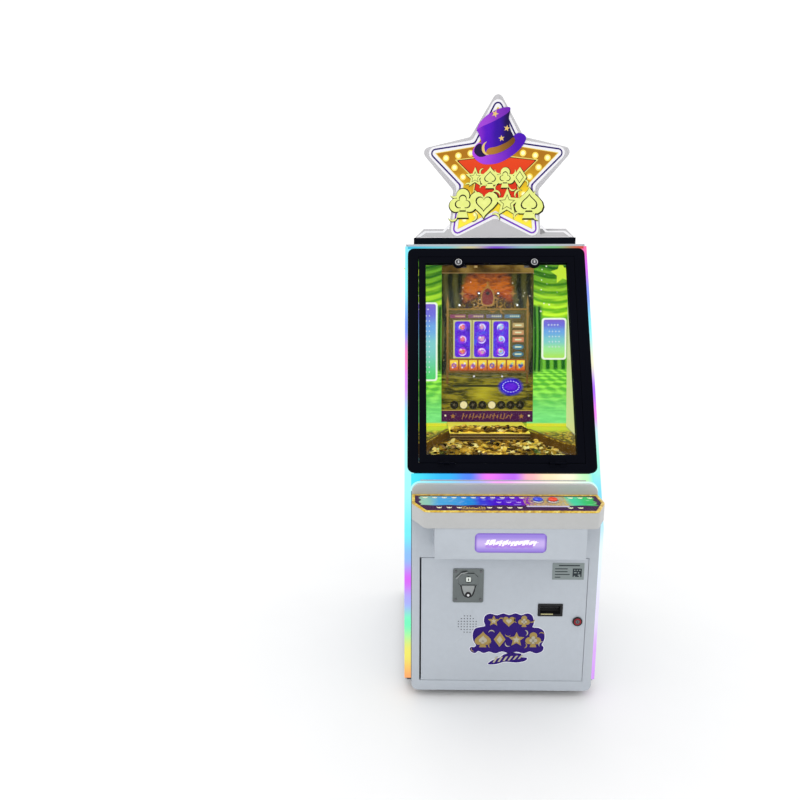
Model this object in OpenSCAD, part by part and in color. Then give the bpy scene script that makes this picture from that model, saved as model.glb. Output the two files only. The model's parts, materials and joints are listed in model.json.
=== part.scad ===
// Coin pusher machine: a steel cabinet with a sloping glass door over a playfield,
// a control shelf, a hinged service door and a star-shaped sign on the roof.
// X runs across the machine, -Y is its front, +Z is up, and z = 0 is the floor.

/* [Cabinet] */
// Width over the side panels
cab_w = 700; // [640:5:840]
// Depth from the front of the shelf to the rear edge of the side panels
cab_d = 912; // [850:4:1100]
// Thickness of a side panel
side_t = 6; // [4:0.5:8]
// Height of the levelling feet under the cabinet
feet_h = 30; // [24:1:40]
// Height of the base frame
base_h = 30; // [24:1:36]
// Distance from a foot's axis to the outside of the cabinet
foot_inset = 42; // [36:1:60]
// Radius of a foot's pad
foot_r = 22; // [18:1:26]
// Radius of a foot's threaded stem
stem_r = 6; // [5:0.5:8]
// Thickness of the rear panel
rear_t = 8; // [4:1:12]
// How far the rear panel lies inside the side panels' rear edges
rear_inset = 3; // [2:0.5:6]
// Thickness of the roof panel
roof_t = 12; // [6:1:18]
// Rise of the roof above the top of the sloping frame
roof_rise = 16.7; // [15:0.1:22]

/* [Front] */
// Depth of the shelf in front of the service door
shelf_overhang = 112; // [95:1:135]
// Distance that the side lights lie behind the service door
side_setback = 47; // [40:1:55]
// Width of the white front cabinet
front_w = 652; // [600:1:760]
// Depth of the front cabinet's frame
front_t = 20; // [16:1:24]
// Radius of the front cabinet's lower corners
front_r = 25; // [10:1:35]
// Height of the shelf's underside above the floor
shelf_z = 703; // [680:1:740]
// Height of the shelf from its underside to the deck
shelf_h = 58; // [50:1:70]
// Depth of the chamfer at the shelf's front corners
shelf_cut_y = 83; // [60:1:95]
// Width of the chamfer at the shelf's front corners
shelf_cut_x = 42; // [30:1:60]
// Wall of the shelf housing
shelf_wall = 3; // [2:0.5:5]
// Thickness of the printed deck panel
deck_t = 3; // [2:0.5:4]
// Width of the gilt deck trim
trim_w = 11; // [8:0.5:14]
// Height of the deck trim above the deck
trim_rise = 1.5; // [1:0.25:3]
// Height of the riser behind the deck
riser_h = 37; // [30:1:44]
// Thickness of the riser
riser_t = 20; // [15:1:24]
// Radius of the riser's upper corners
riser_r = 30; // [20:1:34]
// Depth of the deck from the shelf's front to the riser
deck_d = 167; // [150:1:180]

/* [Illuminated box] */
// Width of the box under the shelf
box_w = 500; // [460:1:540]
// Height of the box under the shelf
box_h = 109; // [100:1:115]
// Depth by which the shelf's front stands past the box
box_inset = 2; // [1:0.5:8]
// Width of its window
lens_w = 236; // [200:1:260]
// Height of its window
lens_h = 68; // [56:1:76]
// Radius of its window's corners
lens_r = 15; // [8:1:20]

/* [Service door] */
// Width of the service door
door_w = 583.5; // [540:0.5:590]
// Height of the service door
door_h = 476; // [440:1:500]
// Height of the door's lower edge above the floor
door_z = 71; // [66:1:80]
// Gap round the door
door_gap = 2; // [1.5:0.25:3]
// Gap at the door's hinge side
hinge_gap = 6; // [5:0.5:7]
// Depth of the door pan
door_t = 20; // [16:1:20]
// Sheet thickness of the door pan
sheet_t = 2; // [1.5:0.25:3]
// Radius of a pivot pin
pivot_r = 3; // [2.5:0.5:4]
// Inset of the pivot axis from the hinge edge of the door
pivot_in = 8.5; // [7:0.5:9]
// Centre of the coin acceptor across the machine
acceptor_x = -126.5; // [-140:0.5:-110]
// Centre height of the coin acceptor
acceptor_z = 444; // [430:1:460]
// Width of the coin acceptor plate
acceptor_w = 108; // [100:1:116]
// Height of the coin acceptor plate
acceptor_h = 128; // [120:1:136]
// Centre of the ticket slot across the machine
ticket_x = 166; // [150:1:180]
// Centre height of the ticket slot
ticket_z = 351.5; // [340:0.5:370]
// Width of the ticket slot's bezel
ticket_w = 88; // [80:1:100]
// Height of the ticket slot's bezel
ticket_h = 48; // [42:1:60]
// Centre of the speaker holes across the machine
speaker_x = -127; // [-140:1:-110]
// Centre height of the speaker holes
speaker_z = 294; // [280:1:305]
// Radius of the field of speaker holes
speaker_r = 37; // [30:1:40]
// Centre of the door lock across the machine
lock_x = 264; // [255:1:270]
// Centre height of the door lock
lock_z = 308; // [290:1:330]

/* [Buttons] */
// Radius of a play button's cap
button_r = 16.5; // [14:0.5:20]
// Travel of a play button
button_travel = 4; // [3:0.25:5]
// Place of the blue button across the machine
blue_x = 103; // [90:1:110]
// Place of the red button across the machine
red_x = 154; // [146:1:165]
// Distance of the buttons from the riser
button_back = 67; // [40:1:80]
// Radius of the coin return button
return_r = 11; // [9:0.5:13]

/* [Sloping frame and glass] */
// Tilt of the glass back from the vertical
tilt = 23.4; // [20:0.2:26]
// Distance from the service door's plane back to the frame's lower edge
frame_back = 118.8; // [112:0.2:130]
// Height of the frame's lower edge above the deck
frame_rise = 59.5; // [56:0.5:70]
// Width of the black frame
frame_w = 682.8; // [630:0.2:822]
// Length of the black frame up the slope
frame_len = 870.4; // [820:0.2:1045]
// Thickness of the black frame
frame_t = 28; // [24:1:32]
// Radius of the black frame's corners
frame_r = 24; // [15:1:30]
// Width of the frame's border round the glass door
border = 36; // [32:1:40]
// Width of the frame's border beside the glass door
border_side = 42.4; // [38:0.2:48]
// Gap between the frame and the glass door
glass_gap = 1.5; // [1:0.25:2.5]
// Width of the door's lower rail
rail_low = 30; // [26:1:34]
// Width of the door's upper rail
rail_top = 24; // [23:1:28]
// Width of the door's side rails
rail_side = 26.5; // [22:0.5:30]
// Thickness of the glass door's frame
glassdoor_t = 24; // [20:1:26]
// Thickness of the front glass
glass_t = 6; // [4:0.5:8]
// Depth of glass held in the door's groove
glass_bite = 8; // [6:0.5:10]
// Distance of each glass lock from the middle
glock_x = 146; // [130:1:160]
// Radius of a glass lock's black boss
glock_boss = 23; // [20:0.5:23]
// Radius of a glass lock's cylinder
glock_r = 9.5; // [8:0.5:11]

/* [Edge lights] */
// Depth of a light diffuser
light_t = 14; // [10:1:18]
// How far the side lights stand past the side panels
light_proud = 2; // [1:0.5:3]
// Width of the lower side lights
light_w = 24; // [20:1:24]
// How far the lights lie behind the face of the sloping frame
light_back = 6; // [4:1:8]
// Height of the lit band below the frame
band_h = 47; // [40:1:50]
// Height of the lit line above the frame
line_h = 11; // [8:0.5:12]

/* [Sign] */
// Width of the sign's base bar
bar_w = 636; // [580:1:640]
// Height of the base bar
bar_h = 25.5; // [22:0.5:32]
// Depth of the base bar
bar_d = 40; // [30:1:60]
// Distance of the base bar behind the roof's front edge
bar_back = 38; // [30:1:50]
// Thickness of the acrylic sign
sign_t = 8; // [6:1:10]
// Outer radius of the acrylic star before its points are rounded
sign_r = 312; // [270:1:340]
// Inner radius of the acrylic star
sign_in = 174; // [155:1:190]
// Outer radius of the printed star
star_r = 292; // [240:1:300]
// Inner radius of the printed star
star_in = 158; // [130:1:165]
// Height of the star's centre above the roof
star_rise = 260; // [240:1:300]

/* [Playfield] */
// Height of the lower coin bed
bed_z = 830; // [815:1:840]
// Thickness of the bed plate
bed_t = 12; // [8:1:16]
// Distance from the rear of the cabinet to the front edge of the bed
bed_d = 526; // [500:1:600]
// Height of the side decks and of the pusher above the bed
step_h = 42; // [36:1:48]
// Width of the pusher
pusher_w = 335; // [300:1:360]
// Length of the pusher
pusher_l = 200; // [190:1:210]
// Distance from the cabinet's rear to the pusher's front edge
pusher_y = 303; // [295:1:310]
// Stroke of the pusher
stroke = 60; // [50:1:65]
// Side clearance of the pusher
pusher_gap = 1; // [0.5:0.25:2]
// Depth of a layer of coins
coin_h = 14; // [10:1:16]
// Tilt of the back wall from the vertical
wall_tilt = 9.4; // [6:0.2:12]
// Distance from the cabinet's rear to the foot of the playfield board
wall_back = 193.4; // [185:0.2:205]
// Height of the board's foot above the bed
wall_rise = 64.4; // [62:0.2:70]
// Width of the playfield board
board_w = 393.4; // [380:0.2:410]
// Height of the playfield board
board_h = 640; // [600:1:650]
// Thickness of the playfield board
board_t = 8; // [6:1:10]
// Height of the full back wall
wall_h = 700; // [680:1:705]
// Thickness of the back wall
wall_t = 6; // [4:1:8]
// Radius of a prize hole
hole_r = 17; // [14:0.5:18]
// Spacing of the prize holes
hole_pitch = 40.4; // [38:0.2:44]
// Height of the prize holes above the board's foot
hole_s = 73; // [65:1:80]
// Height of the moving target above the board's foot
target_s = 155; // [145:1:165]
// Travel of the moving target either side of the middle
target_run = 100; // [80:1:105]
// Width of the display's window
screen_w = 336; // [300:1:350]
// Height of the display's window
screen_h = 270; // [240:1:280]
// Height of the display's lower edge above the board's foot
screen_s = 210; // [205:1:215]

/* [Drive] */
// Length of the connecting rod
rod_l = 120; // [110:1:125]
// Radius of the crank pin
pin_r = 6; // [5:0.5:7]

/* [Hidden] */
$fn = 48;
fit = 0.2;
run = 0.05;
in_w = cab_w / 2 - side_t;
y_front = -cab_d / 2;
y_rear = cab_d / 2;
y_back = y_rear - rear_inset - rear_t;
y_door = y_front + shelf_overhang;
y_side = y_door + side_setback;
y_riser = y_front + deck_d;
base_z = feet_h + base_h;
deck_z = shelf_z + shelf_h;
housing_top = deck_z - deck_t;
frame_y = y_door + frame_back;
frame_z = deck_z + frame_rise;
frame_top = frame_z + frame_len * cos(tilt);
roof_z = frame_top + roof_rise;
roof_under = roof_z - roof_t;
bar_y = slope_y(roof_z) + bar_back;
bar_z = roof_z + bar_h;
sign_y = bar_y + 5;
light_gap = 0.6;
light_lap = 2;
star_z = roof_z + star_rise;
door_l = frame_len - 2 * border;
door_hw = frame_w / 2 - border_side;
glock_s = border + door_l - glock_boss;
glass_n = -glassdoor_t / 2 - glass_t / 2 + 3;
hinge_s = border - glass_gap / 2;
hinge_n = 3;
knuckle_r = 4;
leaf_x = 200;
leaf_w = 60;
door_x = -door_w / 2;
pivot_x = door_x + pivot_in;
pivot_y = y_door + door_t / 2;
wall_y = y_rear - wall_back;
wall_z = bed_z + wall_rise;
step_z = bed_z + step_h;
bed_y = y_rear - bed_d;
push_y = y_rear - pusher_y;
lug_y = push_y + 182;
crank_c = lug_y - rod_l + stroke / 2;
rod_z = bed_z - 40;
wall_cut = board_w / 2 - 5;
wall_s0 = (step_z + fit - wall_z + (board_t + fit + wall_t) * sin(wall_tilt)) / cos(wall_tilt);
rail_n = -30;
canopy_s = 676;
nozzle_x = -55;
nozzle_n = 60;
hop_y = 30;
hop_w = 200;
hop_z = 270;
hop_h = 230;

// Shared shapes
function slope_y(z) = frame_y + (z - frame_z) * tan(tilt);
function slope_at(s, n) = [frame_y + s * sin(tilt) - n * cos(tilt), frame_z + s * cos(tilt) + n * sin(tilt)];
function unit(v) = v / norm(v);
function corner(a, p, b, r, n) = let(
    u = unit(a - p), v = unit(b - p), half = acos(u * v) / 2,
    c = p + unit(u + v) * r / sin(half),
    s = p + u * r / tan(half) - c, e = p + v * r / tan(half) - c,
    a0 = atan2(s.y, s.x), d = (atan2(e.y, e.x) - a0 + 540) % 360 - 180)
    [for (i = [0:n]) c + r * [cos(a0 + d * i / n), sin(a0 + d * i / n)]];
function rounded(p, r, n = 6) = let(k = len(p))
    [for (i = [0:k - 1]) each corner(p[(i + k - 1) % k], p[i], p[(i + 1) % k], r, n)];
function star_pts(ro, ri) = [for (i = [0:9])
    (i % 2 == 0 ? ro : ri) * [sin(36 * i), cos(36 * i)]];
function ellipse_pts(a, b) = [for (i = [0:35]) [a * cos(10 * i), b * sin(10 * i)]];

module wall_xz(y0, t) { translate([0, y0 + t, 0]) rotate([90, 0, 0]) linear_extrude(t) children(); }
module side_yz(x0, t) { translate([x0, 0, 0]) rotate([90, 0, 90]) linear_extrude(t) children(); }
module on_slope() { translate([0, frame_y, frame_z]) rotate([90 - tilt, 0, 0]) children(); }
module on_wall() { translate([0, wall_y, wall_z]) rotate([90 - wall_tilt, 0, 0]) children(); }
module rect2(w, h, r) {
    square([w - 2 * r, h], center = true);
    square([w, h - 2 * r], center = true);
    for (x = [-1, 1], y = [-1, 1]) translate([x * (w / 2 - r), y * (h / 2 - r)]) circle(r);
}
module box(x0, x1, y0, y1, z0, z1) { translate([x0, y0, z0]) cube([x1 - x0, y1 - y0, z1 - z0]); }
module rod_x(x0, x1, r) { translate([x0, 0, 0]) rotate([0, 90, 0]) cylinder(h = x1 - x0, r = r); }
module rod_y(y0, y1, r) { translate([0, y1, 0]) rotate([90, 0, 0]) cylinder(h = y1 - y0, r = r); }

// Cabinet
module foot_places() {
    for (x = [-1, 1], y = [y_side + light_t + foot_inset, y_back - foot_inset])
        translate([x * (cab_w / 2 - foot_inset), y, 0]) children();
}
module base_frame() {
    tube = 60;
    y0 = y_door + front_t + fit;
    color("dimgray") difference() {
        box(-in_w + fit, in_w - fit, y0, y_back - fit, feet_h, base_z);
        box(-in_w + tube, in_w - tube, y0 + tube + 20, y_back - tube, feet_h - 1, base_z - 2);
        for (x = [-1, 1]) translate([x * (in_w + front_w / 2) / 2, y0, base_z / 2 + feet_h / 2])
            cube([in_w - front_w / 2 + 12, 2 * (side_setback - front_t + light_t), base_h + 2], center = true);
        foot_places() translate([0, 0, feet_h - 1]) cylinder(h = base_h - 3, r = stem_r + fit);
    }
}
module levelling_feet() {
    color("silver") foot_places() {
        cylinder(h = 5, r = foot_r);
        translate([0, 0, 5]) cylinder(h = 5, r1 = foot_r - 2, r2 = stem_r + 4);
        cylinder(h = feet_h + 20, r = stem_r);
        translate([0, 0, feet_h - 8]) cylinder(h = 8 - fit, r = stem_r + 5, $fn = 6);
    }
}
// Height at which the line lying o behind the lights' face turns from upright to sloping
function kink_z(o) = frame_z + (y_side + o - frame_y - (o + light_back) / cos(tilt)) / tan(tilt);
function edge_y(o, z) = slope_y(z) + (o + light_back) / cos(tilt);
module side_panel() {
    polygon([[y_side + light_t, feet_h], [y_rear, feet_h], [y_rear, roof_z],
        [edge_y(light_t, roof_z), roof_z], [y_side + light_t, kink_z(light_t)]]);
}
module side_panel_left() { color("white") side_yz(-cab_w / 2, side_t) side_panel(); }
module side_panel_right() { color("white") side_yz(in_w, side_t) side_panel(); }
module roof_panel() {
    color([0.12, 0.12, 0.14]) side_yz(-in_w + fit, 2 * (in_w - fit)) polygon([
        [edge_y(light_t + 2, roof_under), roof_under], [y_back - fit, roof_under],
        [y_back - fit, roof_z], [edge_y(light_t + 2, roof_z), roof_z]]);
}
inlet_x = -220;
inlet_z = 130;
module rear_panel() {
    color("whitesmoke") difference() {
        box(-in_w + fit, in_w - fit, y_back, y_rear - rear_inset, feet_h, roof_z);
        for (z = [320, 1180], i = [0:9], x = [-1, 1])
            box(x * 130 - 70, x * 130 + 70, y_back - 1, y_rear, z + 16 * i, z + 16 * i + 6);
        box(inlet_x - 24, inlet_x + 24, y_back - 1, y_rear, inlet_z - 14, inlet_z + 14);
    }
}
module power_inlet() {
    y0 = y_rear - rear_inset;
    color([0.1, 0.1, 0.1]) difference() {
        union() {
            box(inlet_x - 30, inlet_x + 30, y0, y0 + 2.5, inlet_z - 18, inlet_z + 18);
            box(inlet_x - 23.8, inlet_x + 23.8, y0 - 24, y0 + 0.1, inlet_z - 13.8, inlet_z + 13.8);
        }
        box(inlet_x - 12, inlet_x + 12, y0 - 16, y0 + 4, inlet_z - 8, inlet_z + 8);
    }
    color("silver") for (x = [-7, 0, 7]) box(inlet_x + x - 1, inlet_x + x + 1, y0 - 17, y0 - 3,
        inlet_z - 2, inlet_z + 2);
}

// White front
module front_cabinet() {
    open_x0 = door_x - hinge_gap;
    open_x1 = -door_x + door_gap;
    z0 = feet_h;
    color("white") {
        wall_xz(y_door, front_t) difference() {
            union() {
                translate([-front_w / 2, z0 + front_r]) square([front_w, shelf_z - z0 - front_r]);
                translate([-front_w / 2 + front_r, z0]) square([front_w - 2 * front_r, front_r + 1]);
                for (x = [-1, 1]) translate([x * (front_w / 2 - front_r), z0 + front_r]) circle(front_r);
            }
            translate([open_x0, door_z - door_gap])
                square([open_x1 - open_x0, door_h + 2 * door_gap]);
            translate([0, shelf_z - box_h / 2]) square([lens_w + 40, box_h - 30], center = true);
        }
        for (x = [-1, 1]) box(min(x * front_w / 2, x * (front_w / 2 - 3)),
            max(x * front_w / 2, x * (front_w / 2 - 3)), y_door + front_t - 1, y_side + light_t,
            z0 + front_r, shelf_z);
    }
    color("silver") for (z = [door_z - door_gap - 4, door_z + door_h - 8])
        translate([pivot_x, pivot_y, z]) cylinder(h = 12 + door_gap, r = pivot_r);
}
function deck_pts(i) = let(
    hw = front_w / 2, b = atan2(shelf_cut_y, shelf_cut_x),
    y1 = y_front + shelf_cut_y + i * tan((90 - b) / 2), x2 = hw - shelf_cut_x - i * tan(b / 2))
    [[hw - i, y1], [hw - i, y_riser - i], [-hw + i, y_riser - i], [-hw + i, y1],
        [-x2, y_front + i], [x2, y_front + i]];
function deck_round(i) = let(p = deck_pts(i), r = 22 - i) concat(
    corner(p[5], p[0], p[1], r, 6), [p[1], p[2]], corner(p[2], p[3], p[4], r, 6),
    corner(p[3], p[4], p[5], r, 6), corner(p[4], p[5], p[0], r, 6));
button_y = y_riser - button_back;
barrel_r = 12;
module shelf_housing() {
    color("white") {
        difference() {
            translate([0, 0, shelf_z]) linear_extrude(housing_top - shelf_z) polygon(deck_round(0));
            translate([0, 0, shelf_z + shelf_wall])
                linear_extrude(housing_top - shelf_z - 2 * shelf_wall) polygon(deck_round(shelf_wall));
            for (x = [blue_x, red_x]) translate([x, button_y, housing_top - 10])
                cylinder(h = 20, r = barrel_r + fit);
            box(-lens_w / 2, lens_w / 2, y_door - 80, y_door - 20, shelf_z - 1, shelf_z + shelf_wall + 1);
        }
        wall_xz(y_riser, riser_t) {
            translate([-front_w / 2, shelf_z]) square([front_w, deck_z - shelf_z + riser_h - riser_r]);
            translate([-front_w / 2 + riser_r, deck_z]) square([front_w - 2 * riser_r, riser_h]);
            for (x = [-1, 1]) translate([x * (front_w / 2 - riser_r), deck_z + riser_h - riser_r])
                circle(riser_r);
        }
        box(-front_w / 2 + riser_r, front_w / 2 - riser_r, y_riser + riser_t - 1,
            slope_y(deck_z + riser_h) + 1, deck_z + riser_h - 3, deck_z + riser_h);
    }
}
module deck_panel() {
    color("mediumslateblue") difference() {
        translate([0, 0, housing_top]) linear_extrude(deck_t) polygon(deck_round(trim_w));
        for (x = [blue_x, red_x]) translate([x, button_y, housing_top - 1])
            cylinder(h = 10, r = barrel_r + fit);
    }
}
module deck_trim() {
    color("gold") translate([0, 0, housing_top]) linear_extrude(deck_t + trim_rise) difference() {
        polygon(deck_round(0));
        polygon(deck_round(trim_w - fit));
    }
}
bezel_r = button_r + 4.5;
module button_bezels() {
    color("whitesmoke") for (x = [blue_x, red_x]) translate([x, button_y, deck_z]) difference() {
        union() {
            cylinder(h = 6, r = bezel_r);
            translate([0, 0, -40]) cylinder(h = 41, r = barrel_r);
        }
        translate([0, 0, 1.5]) cylinder(h = 6, r = button_r + 0.3);
        translate([0, 0, -41]) cylinder(h = 50, r = 6 + run);
    }
}
module play_button(x) {
    translate([x, button_y, deck_z]) {
        translate([0, 0, 2 + button_travel]) cylinder(h = 4, r = button_r);
        translate([0, 0, 6 + button_travel]) cylinder(h = 3, r1 = button_r, r2 = button_r - 5);
        translate([0, 0, -30]) cylinder(h = 34 + button_travel, r = 6);
    }
}
module blue_button() { color("blue") play_button(blue_x); }
module red_button() { color("red") play_button(red_x); }
module sub_box() {
    y0 = y_front + box_inset;
    z0 = shelf_z - box_h;
    color("white") difference() {
        box(-box_w / 2, box_w / 2, y0, y_door - fit, z0, shelf_z - fit);
        box(-box_w / 2 + 3, box_w / 2 - 3, y0 + 3, y_door + 1, z0 + 3, shelf_z - 4);
        translate([0, 0, shelf_z - box_h / 2 + 3.5]) wall_xz(y0 - 1, 5) rect2(lens_w, lens_h, lens_r);
        box(-lens_w / 2, lens_w / 2, y_door - 80, y_door - 20, shelf_z - 5, shelf_z + 1);
    }
}
module sign_window_lens() {
    y0 = y_front + box_inset;
    color([0.75, 0.65, 1]) translate([0, 0, shelf_z - box_h / 2 + 3.5]) {
        wall_xz(y0 + 0.5, 3) rect2(lens_w - 2 * fit, lens_h - 2 * fit, lens_r - fit);
        wall_xz(y0 + 3 + fit, 3) square([lens_w + 14, lens_h + 14], center = true);
    }
}

// Sloping frame, lights and glass door
module edge_lights() {
    x0 = cab_w / 2 + light_proud;
    low_s = [for (o = [0, light_t]) [y_side + o, kink_z(o)]];
    color([0.7, 0.9, 1]) {
        for (m = [0, 1]) mirror([m, 0, 0]) {
            side_yz(x0 - light_w, light_w) polygon([[y_side, feet_h + 16], [y_side + light_t, feet_h + 16],
                low_s[1], slope_at(-light_gap - 0.1, -light_back - light_t), slope_at(-light_gap - 0.1, -light_back), low_s[0]]);
            on_slope() translate([0, 0, -light_back - light_t]) linear_extrude(light_t) difference() {
                union() {
                    translate([frame_w / 2 - frame_r, -light_lap])
                        square([x0 - frame_w / 2 + frame_r, frame_len + light_lap + 0.4]);
                    translate([frame_w / 2 + light_gap, 0])
                        square([x0 - frame_w / 2 - light_gap, frame_len + line_h]);
                }
                translate([0, frame_len / 2])
                    rect2(frame_w + 2 * light_gap, frame_len + 2 * light_gap, frame_r + light_gap);
            }
        }
        on_slope() {
            box(-x0 + light_w + fit, x0 - light_w - fit, -band_h, -light_lap - fit,
                -light_back - light_t, -light_back);
            box(-frame_w / 2, frame_w / 2, frame_len + 1, frame_len + 1 + line_h,
                -light_back - light_t, -light_back);
        }
    }
}
module leaf_cuts(s0) {
    for (x = [-1, 1]) box(x * leaf_x - leaf_w / 2 - fit, x * leaf_x + leaf_w / 2 + fit, s0, s0 + 14,
        -1.5, 1);
}
module outer_frame() {
    color([0.05, 0.05, 0.06]) on_slope() difference() {
        translate([0, 0, -frame_t]) linear_extrude(frame_t) difference() {
            translate([0, frame_len / 2]) rect2(frame_w, frame_len, frame_r);
            translate([-door_hw - glass_gap, border - glass_gap])
                square([2 * (door_hw + glass_gap), door_l + 2 * glass_gap]);
        }
        leaf_cuts(border - glass_gap - 14 + 0.01);
        for (x = [-1, 1]) translate([x * leaf_x, hinge_s, hinge_n])
            rod_x(-leaf_w / 2 - fit, leaf_w / 2 + fit, knuckle_r + 0.3);
    }
}
module knuckles(x0, x1, s0, s1, bore) {
    depth = bore > 0 ? 2.5 : 1.49;
    difference() {
        union() {
            box(x0, x1, s0, s1, -depth, -0.01);
            translate([0, hinge_s, hinge_n]) rod_x(x0, x1, knuckle_r);
        }
        if (bore > 0) translate([0, hinge_s, hinge_n]) rod_x(x0 - 1, x1 + 1, bore);
    }
}
module glass_hinge_leaves() {
    third = leaf_w / 3;
    color("silver") on_slope() for (c = [-leaf_x, leaf_x]) {
        for (k = [-1, 1]) knuckles(c + k * third - third / 2, c + k * third + third / 2,
            hinge_s - glass_gap / 2 - 13, hinge_s, 0);
        translate([0, hinge_s, hinge_n]) rod_x(c - leaf_w / 2 + 1, c + leaf_w / 2 - 1, 1.5);
    }
}
module glass_door_frame() {
    third = leaf_w / 3;
    color([0.06, 0.06, 0.07]) on_slope() {
        difference() {
            union() {
                translate([0, 0, -glassdoor_t]) linear_extrude(glassdoor_t) difference() {
                    translate([0, frame_len / 2]) rect2(2 * door_hw, door_l, 3);
                    translate([-door_hw + rail_side, border + rail_low])
                        square([2 * (door_hw - rail_side), door_l - rail_low - rail_top]);
                }
                for (x = [-1, 1]) translate([x * glock_x, glock_s, -8]) cylinder(h = 8, r = glock_boss);
            }
            box(-door_hw + rail_side - glass_bite - fit, door_hw - rail_side + glass_bite + fit,
                border + rail_low - glass_bite - fit, border + door_l - rail_top + glass_bite + fit,
                glass_n - fit, glass_n + glass_t + fit);
            for (x = [-1, 1]) translate([x * glock_x, glock_s, -glassdoor_t - 1])
                cylinder(h = glassdoor_t + 2, r = glock_r + run);
            leaf_cuts(border - 0.01);
            for (x = [-1, 1]) translate([x * leaf_x, hinge_s, hinge_n])
                rod_x(-leaf_w / 2 - fit, leaf_w / 2 + fit, knuckle_r + 0.3);
        }
        for (c = [-leaf_x, leaf_x]) knuckles(c - third / 2 + 0.3, c + third / 2 - 0.3,
            hinge_s, border + 13.5, 1.5 + run);
    }
}
module front_glass() {
    color([0.7, 0.9, 0.9, 0.3]) on_slope() difference() {
        box(-door_hw + rail_side - glass_bite, door_hw - rail_side + glass_bite,
            border + rail_low - glass_bite, border + door_l - rail_top + glass_bite,
            glass_n, glass_n + glass_t);
        for (x = [-1, 1]) translate([x * glock_x, glock_s, -40]) cylinder(h = 50, r = glock_r + 3);
    }
}
module glass_lock(side) {
    on_slope() translate([side * glock_x, glock_s, 0]) {
        translate([0, 0, -frame_t - 5]) cylinder(h = frame_t + 8, r = glock_r);
        box(min(0, -side * 34), max(0, -side * 34), -8, 8, -frame_t - 5, -frame_t - 2);
    }
}
module glass_lock_left() { color("silver") glass_lock(-1); }
module glass_lock_right() { color("silver") glass_lock(1); }

// Sign
module top_bar() {
    color([0.06, 0.07, 0.1]) difference() {
        box(-bar_w / 2, bar_w / 2, bar_y, bar_y + bar_d, roof_z, bar_z);
        box(-bar_w / 2 + 12, bar_w / 2 - 12, sign_y - fit, sign_y + sign_t + fit, bar_z - 15, bar_z + 1);
    }
}
module sign_board() {
    color([0.9, 0.92, 0.95, 0.6]) wall_xz(sign_y, sign_t) difference() {
        union() {
            translate([0, star_z]) polygon(rounded(star_pts(sign_r, sign_in), 20));
            polygon([[-bar_w / 2 + 4, bar_z], [bar_w / 2 - 4, bar_z],
                [bar_w / 2 - 39, bar_z + 34], [-bar_w / 2 + 39, bar_z + 34]]);
            translate([-bar_w / 2 + 12 + fit, bar_z - 14.8]) square([bar_w - 24 - 2 * fit, 15]);
            translate([-sign_in * 0.6, bar_z]) square([sign_in * 1.2, star_z - bar_z - sign_in * 0.7]);
        }
        translate([-bar_w / 2, bar_z - 120]) square([bar_w, 105.2]);
    }
}
module sign_art() {
    color("gold") wall_xz(sign_y - 2, 2) translate([0, star_z]) polygon(rounded(star_pts(star_r, star_in), 12));
    color("orangered") wall_xz(sign_y - 3.5, 1.6) translate([0, star_z])
        polygon(rounded(star_pts(star_r * 0.6, star_in * 0.6), 8));
    color("indigo") wall_xz(sign_y - 6.5, 3.1) translate([0, star_z]) {
        translate([5, 68]) rotate(17) polygon(ellipse_pts(106, 24));
        polygon([[-70, 60], [-74, 150], [-50, 192], [40, 240], [62, 224], [66, 110], [40, 60]]);
    }
}

// Playfield
module back_wall() {
    color("limegreen") on_wall() difference() {
        box(-in_w + fit, in_w - fit, wall_s0, wall_h, -board_t - fit - wall_t, -board_t - fit);
        box(-pusher_w / 2 - 6, pusher_w / 2 + 6, -step_h, 0, -40, 0);
        box(-wall_cut, wall_cut, 50, screen_s + screen_h + 10, -40, 0);
    }
}
module playfield_board() {
    color("darkgoldenrod") on_wall() difference() {
        box(-board_w / 2, board_w / 2, 0, board_h, -board_t, 0);
        for (i = [0:7]) translate([(i - 3.5) * hole_pitch, hole_s, -board_t - 1])
            cylinder(h = board_t + 2, r = hole_r);
        box(-target_run - 47, target_run + 47, target_s - 4, target_s + 4, -board_t - 1, 1);
        box(-screen_w / 2, screen_w / 2, screen_s, screen_s + screen_h, -board_t - 1, 1);
    }
}
module display_panel() {
    color([0.2, 0.15, 0.5]) on_wall() {
        box(-screen_w / 2 - 8, screen_w / 2 + 8, screen_s - 7, screen_s + screen_h + 7,
            -board_t - 24, -board_t - fit);
        box(-screen_w / 2 + fit, screen_w / 2 - fit, screen_s + fit, screen_s + screen_h - fit,
            -board_t - 1, -3);
    }
}
cover_hw = 190;
cover_n = 22;
module playfield_cover() {
    color([0.9, 0.95, 1, 0.3]) on_wall() {
        box(-cover_hw, cover_hw, 188, board_h, cover_n, cover_n + 3);
        for (p = [[41, 549], [123, 498], [60, 196]], x = [-1, 1])
            translate([x * p.x, p.y, 0]) cylinder(h = cover_n + 6, r = 5);
    }
}
module placards() {
    n0 = -board_t;
    color([0.6, 0.6, 1]) on_wall() {
        translate([-(in_w + board_w / 2) / 2, 345, n0]) linear_extrude(4) rect2(112, 339, 14);
        translate([(in_w + board_w / 2) / 2 + 16, 358, n0]) linear_extrude(4) rect2(106, 179, 14);
    }
}
module canopy() {
    color("saddlebrown") on_wall() difference() {
        box(-165, 165, canopy_s, canopy_s + 22, -board_t, 115);
        box(-160, 160, canopy_s + 5, canopy_s + 23, 0, 110);
        translate([nozzle_x, canopy_s - 1, nozzle_n]) rotate([-90, 0, 0]) cylinder(h = 10, r = 5 + run);
    }
}
module coin_nozzle() {
    color("goldenrod") on_wall() translate([nozzle_x, canopy_s, nozzle_n]) rotate([90, 0, 0]) {
        translate([0, 0, -8]) cylinder(h = 9, r = 5);
        translate([0, 0, 0.3]) cylinder(h = 12, r = 10);
        translate([-7, -26, 6]) cube([14, 26, 7]);
        translate([-7, -32, 6]) cube([14, 8, 14]);
    }
}
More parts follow.
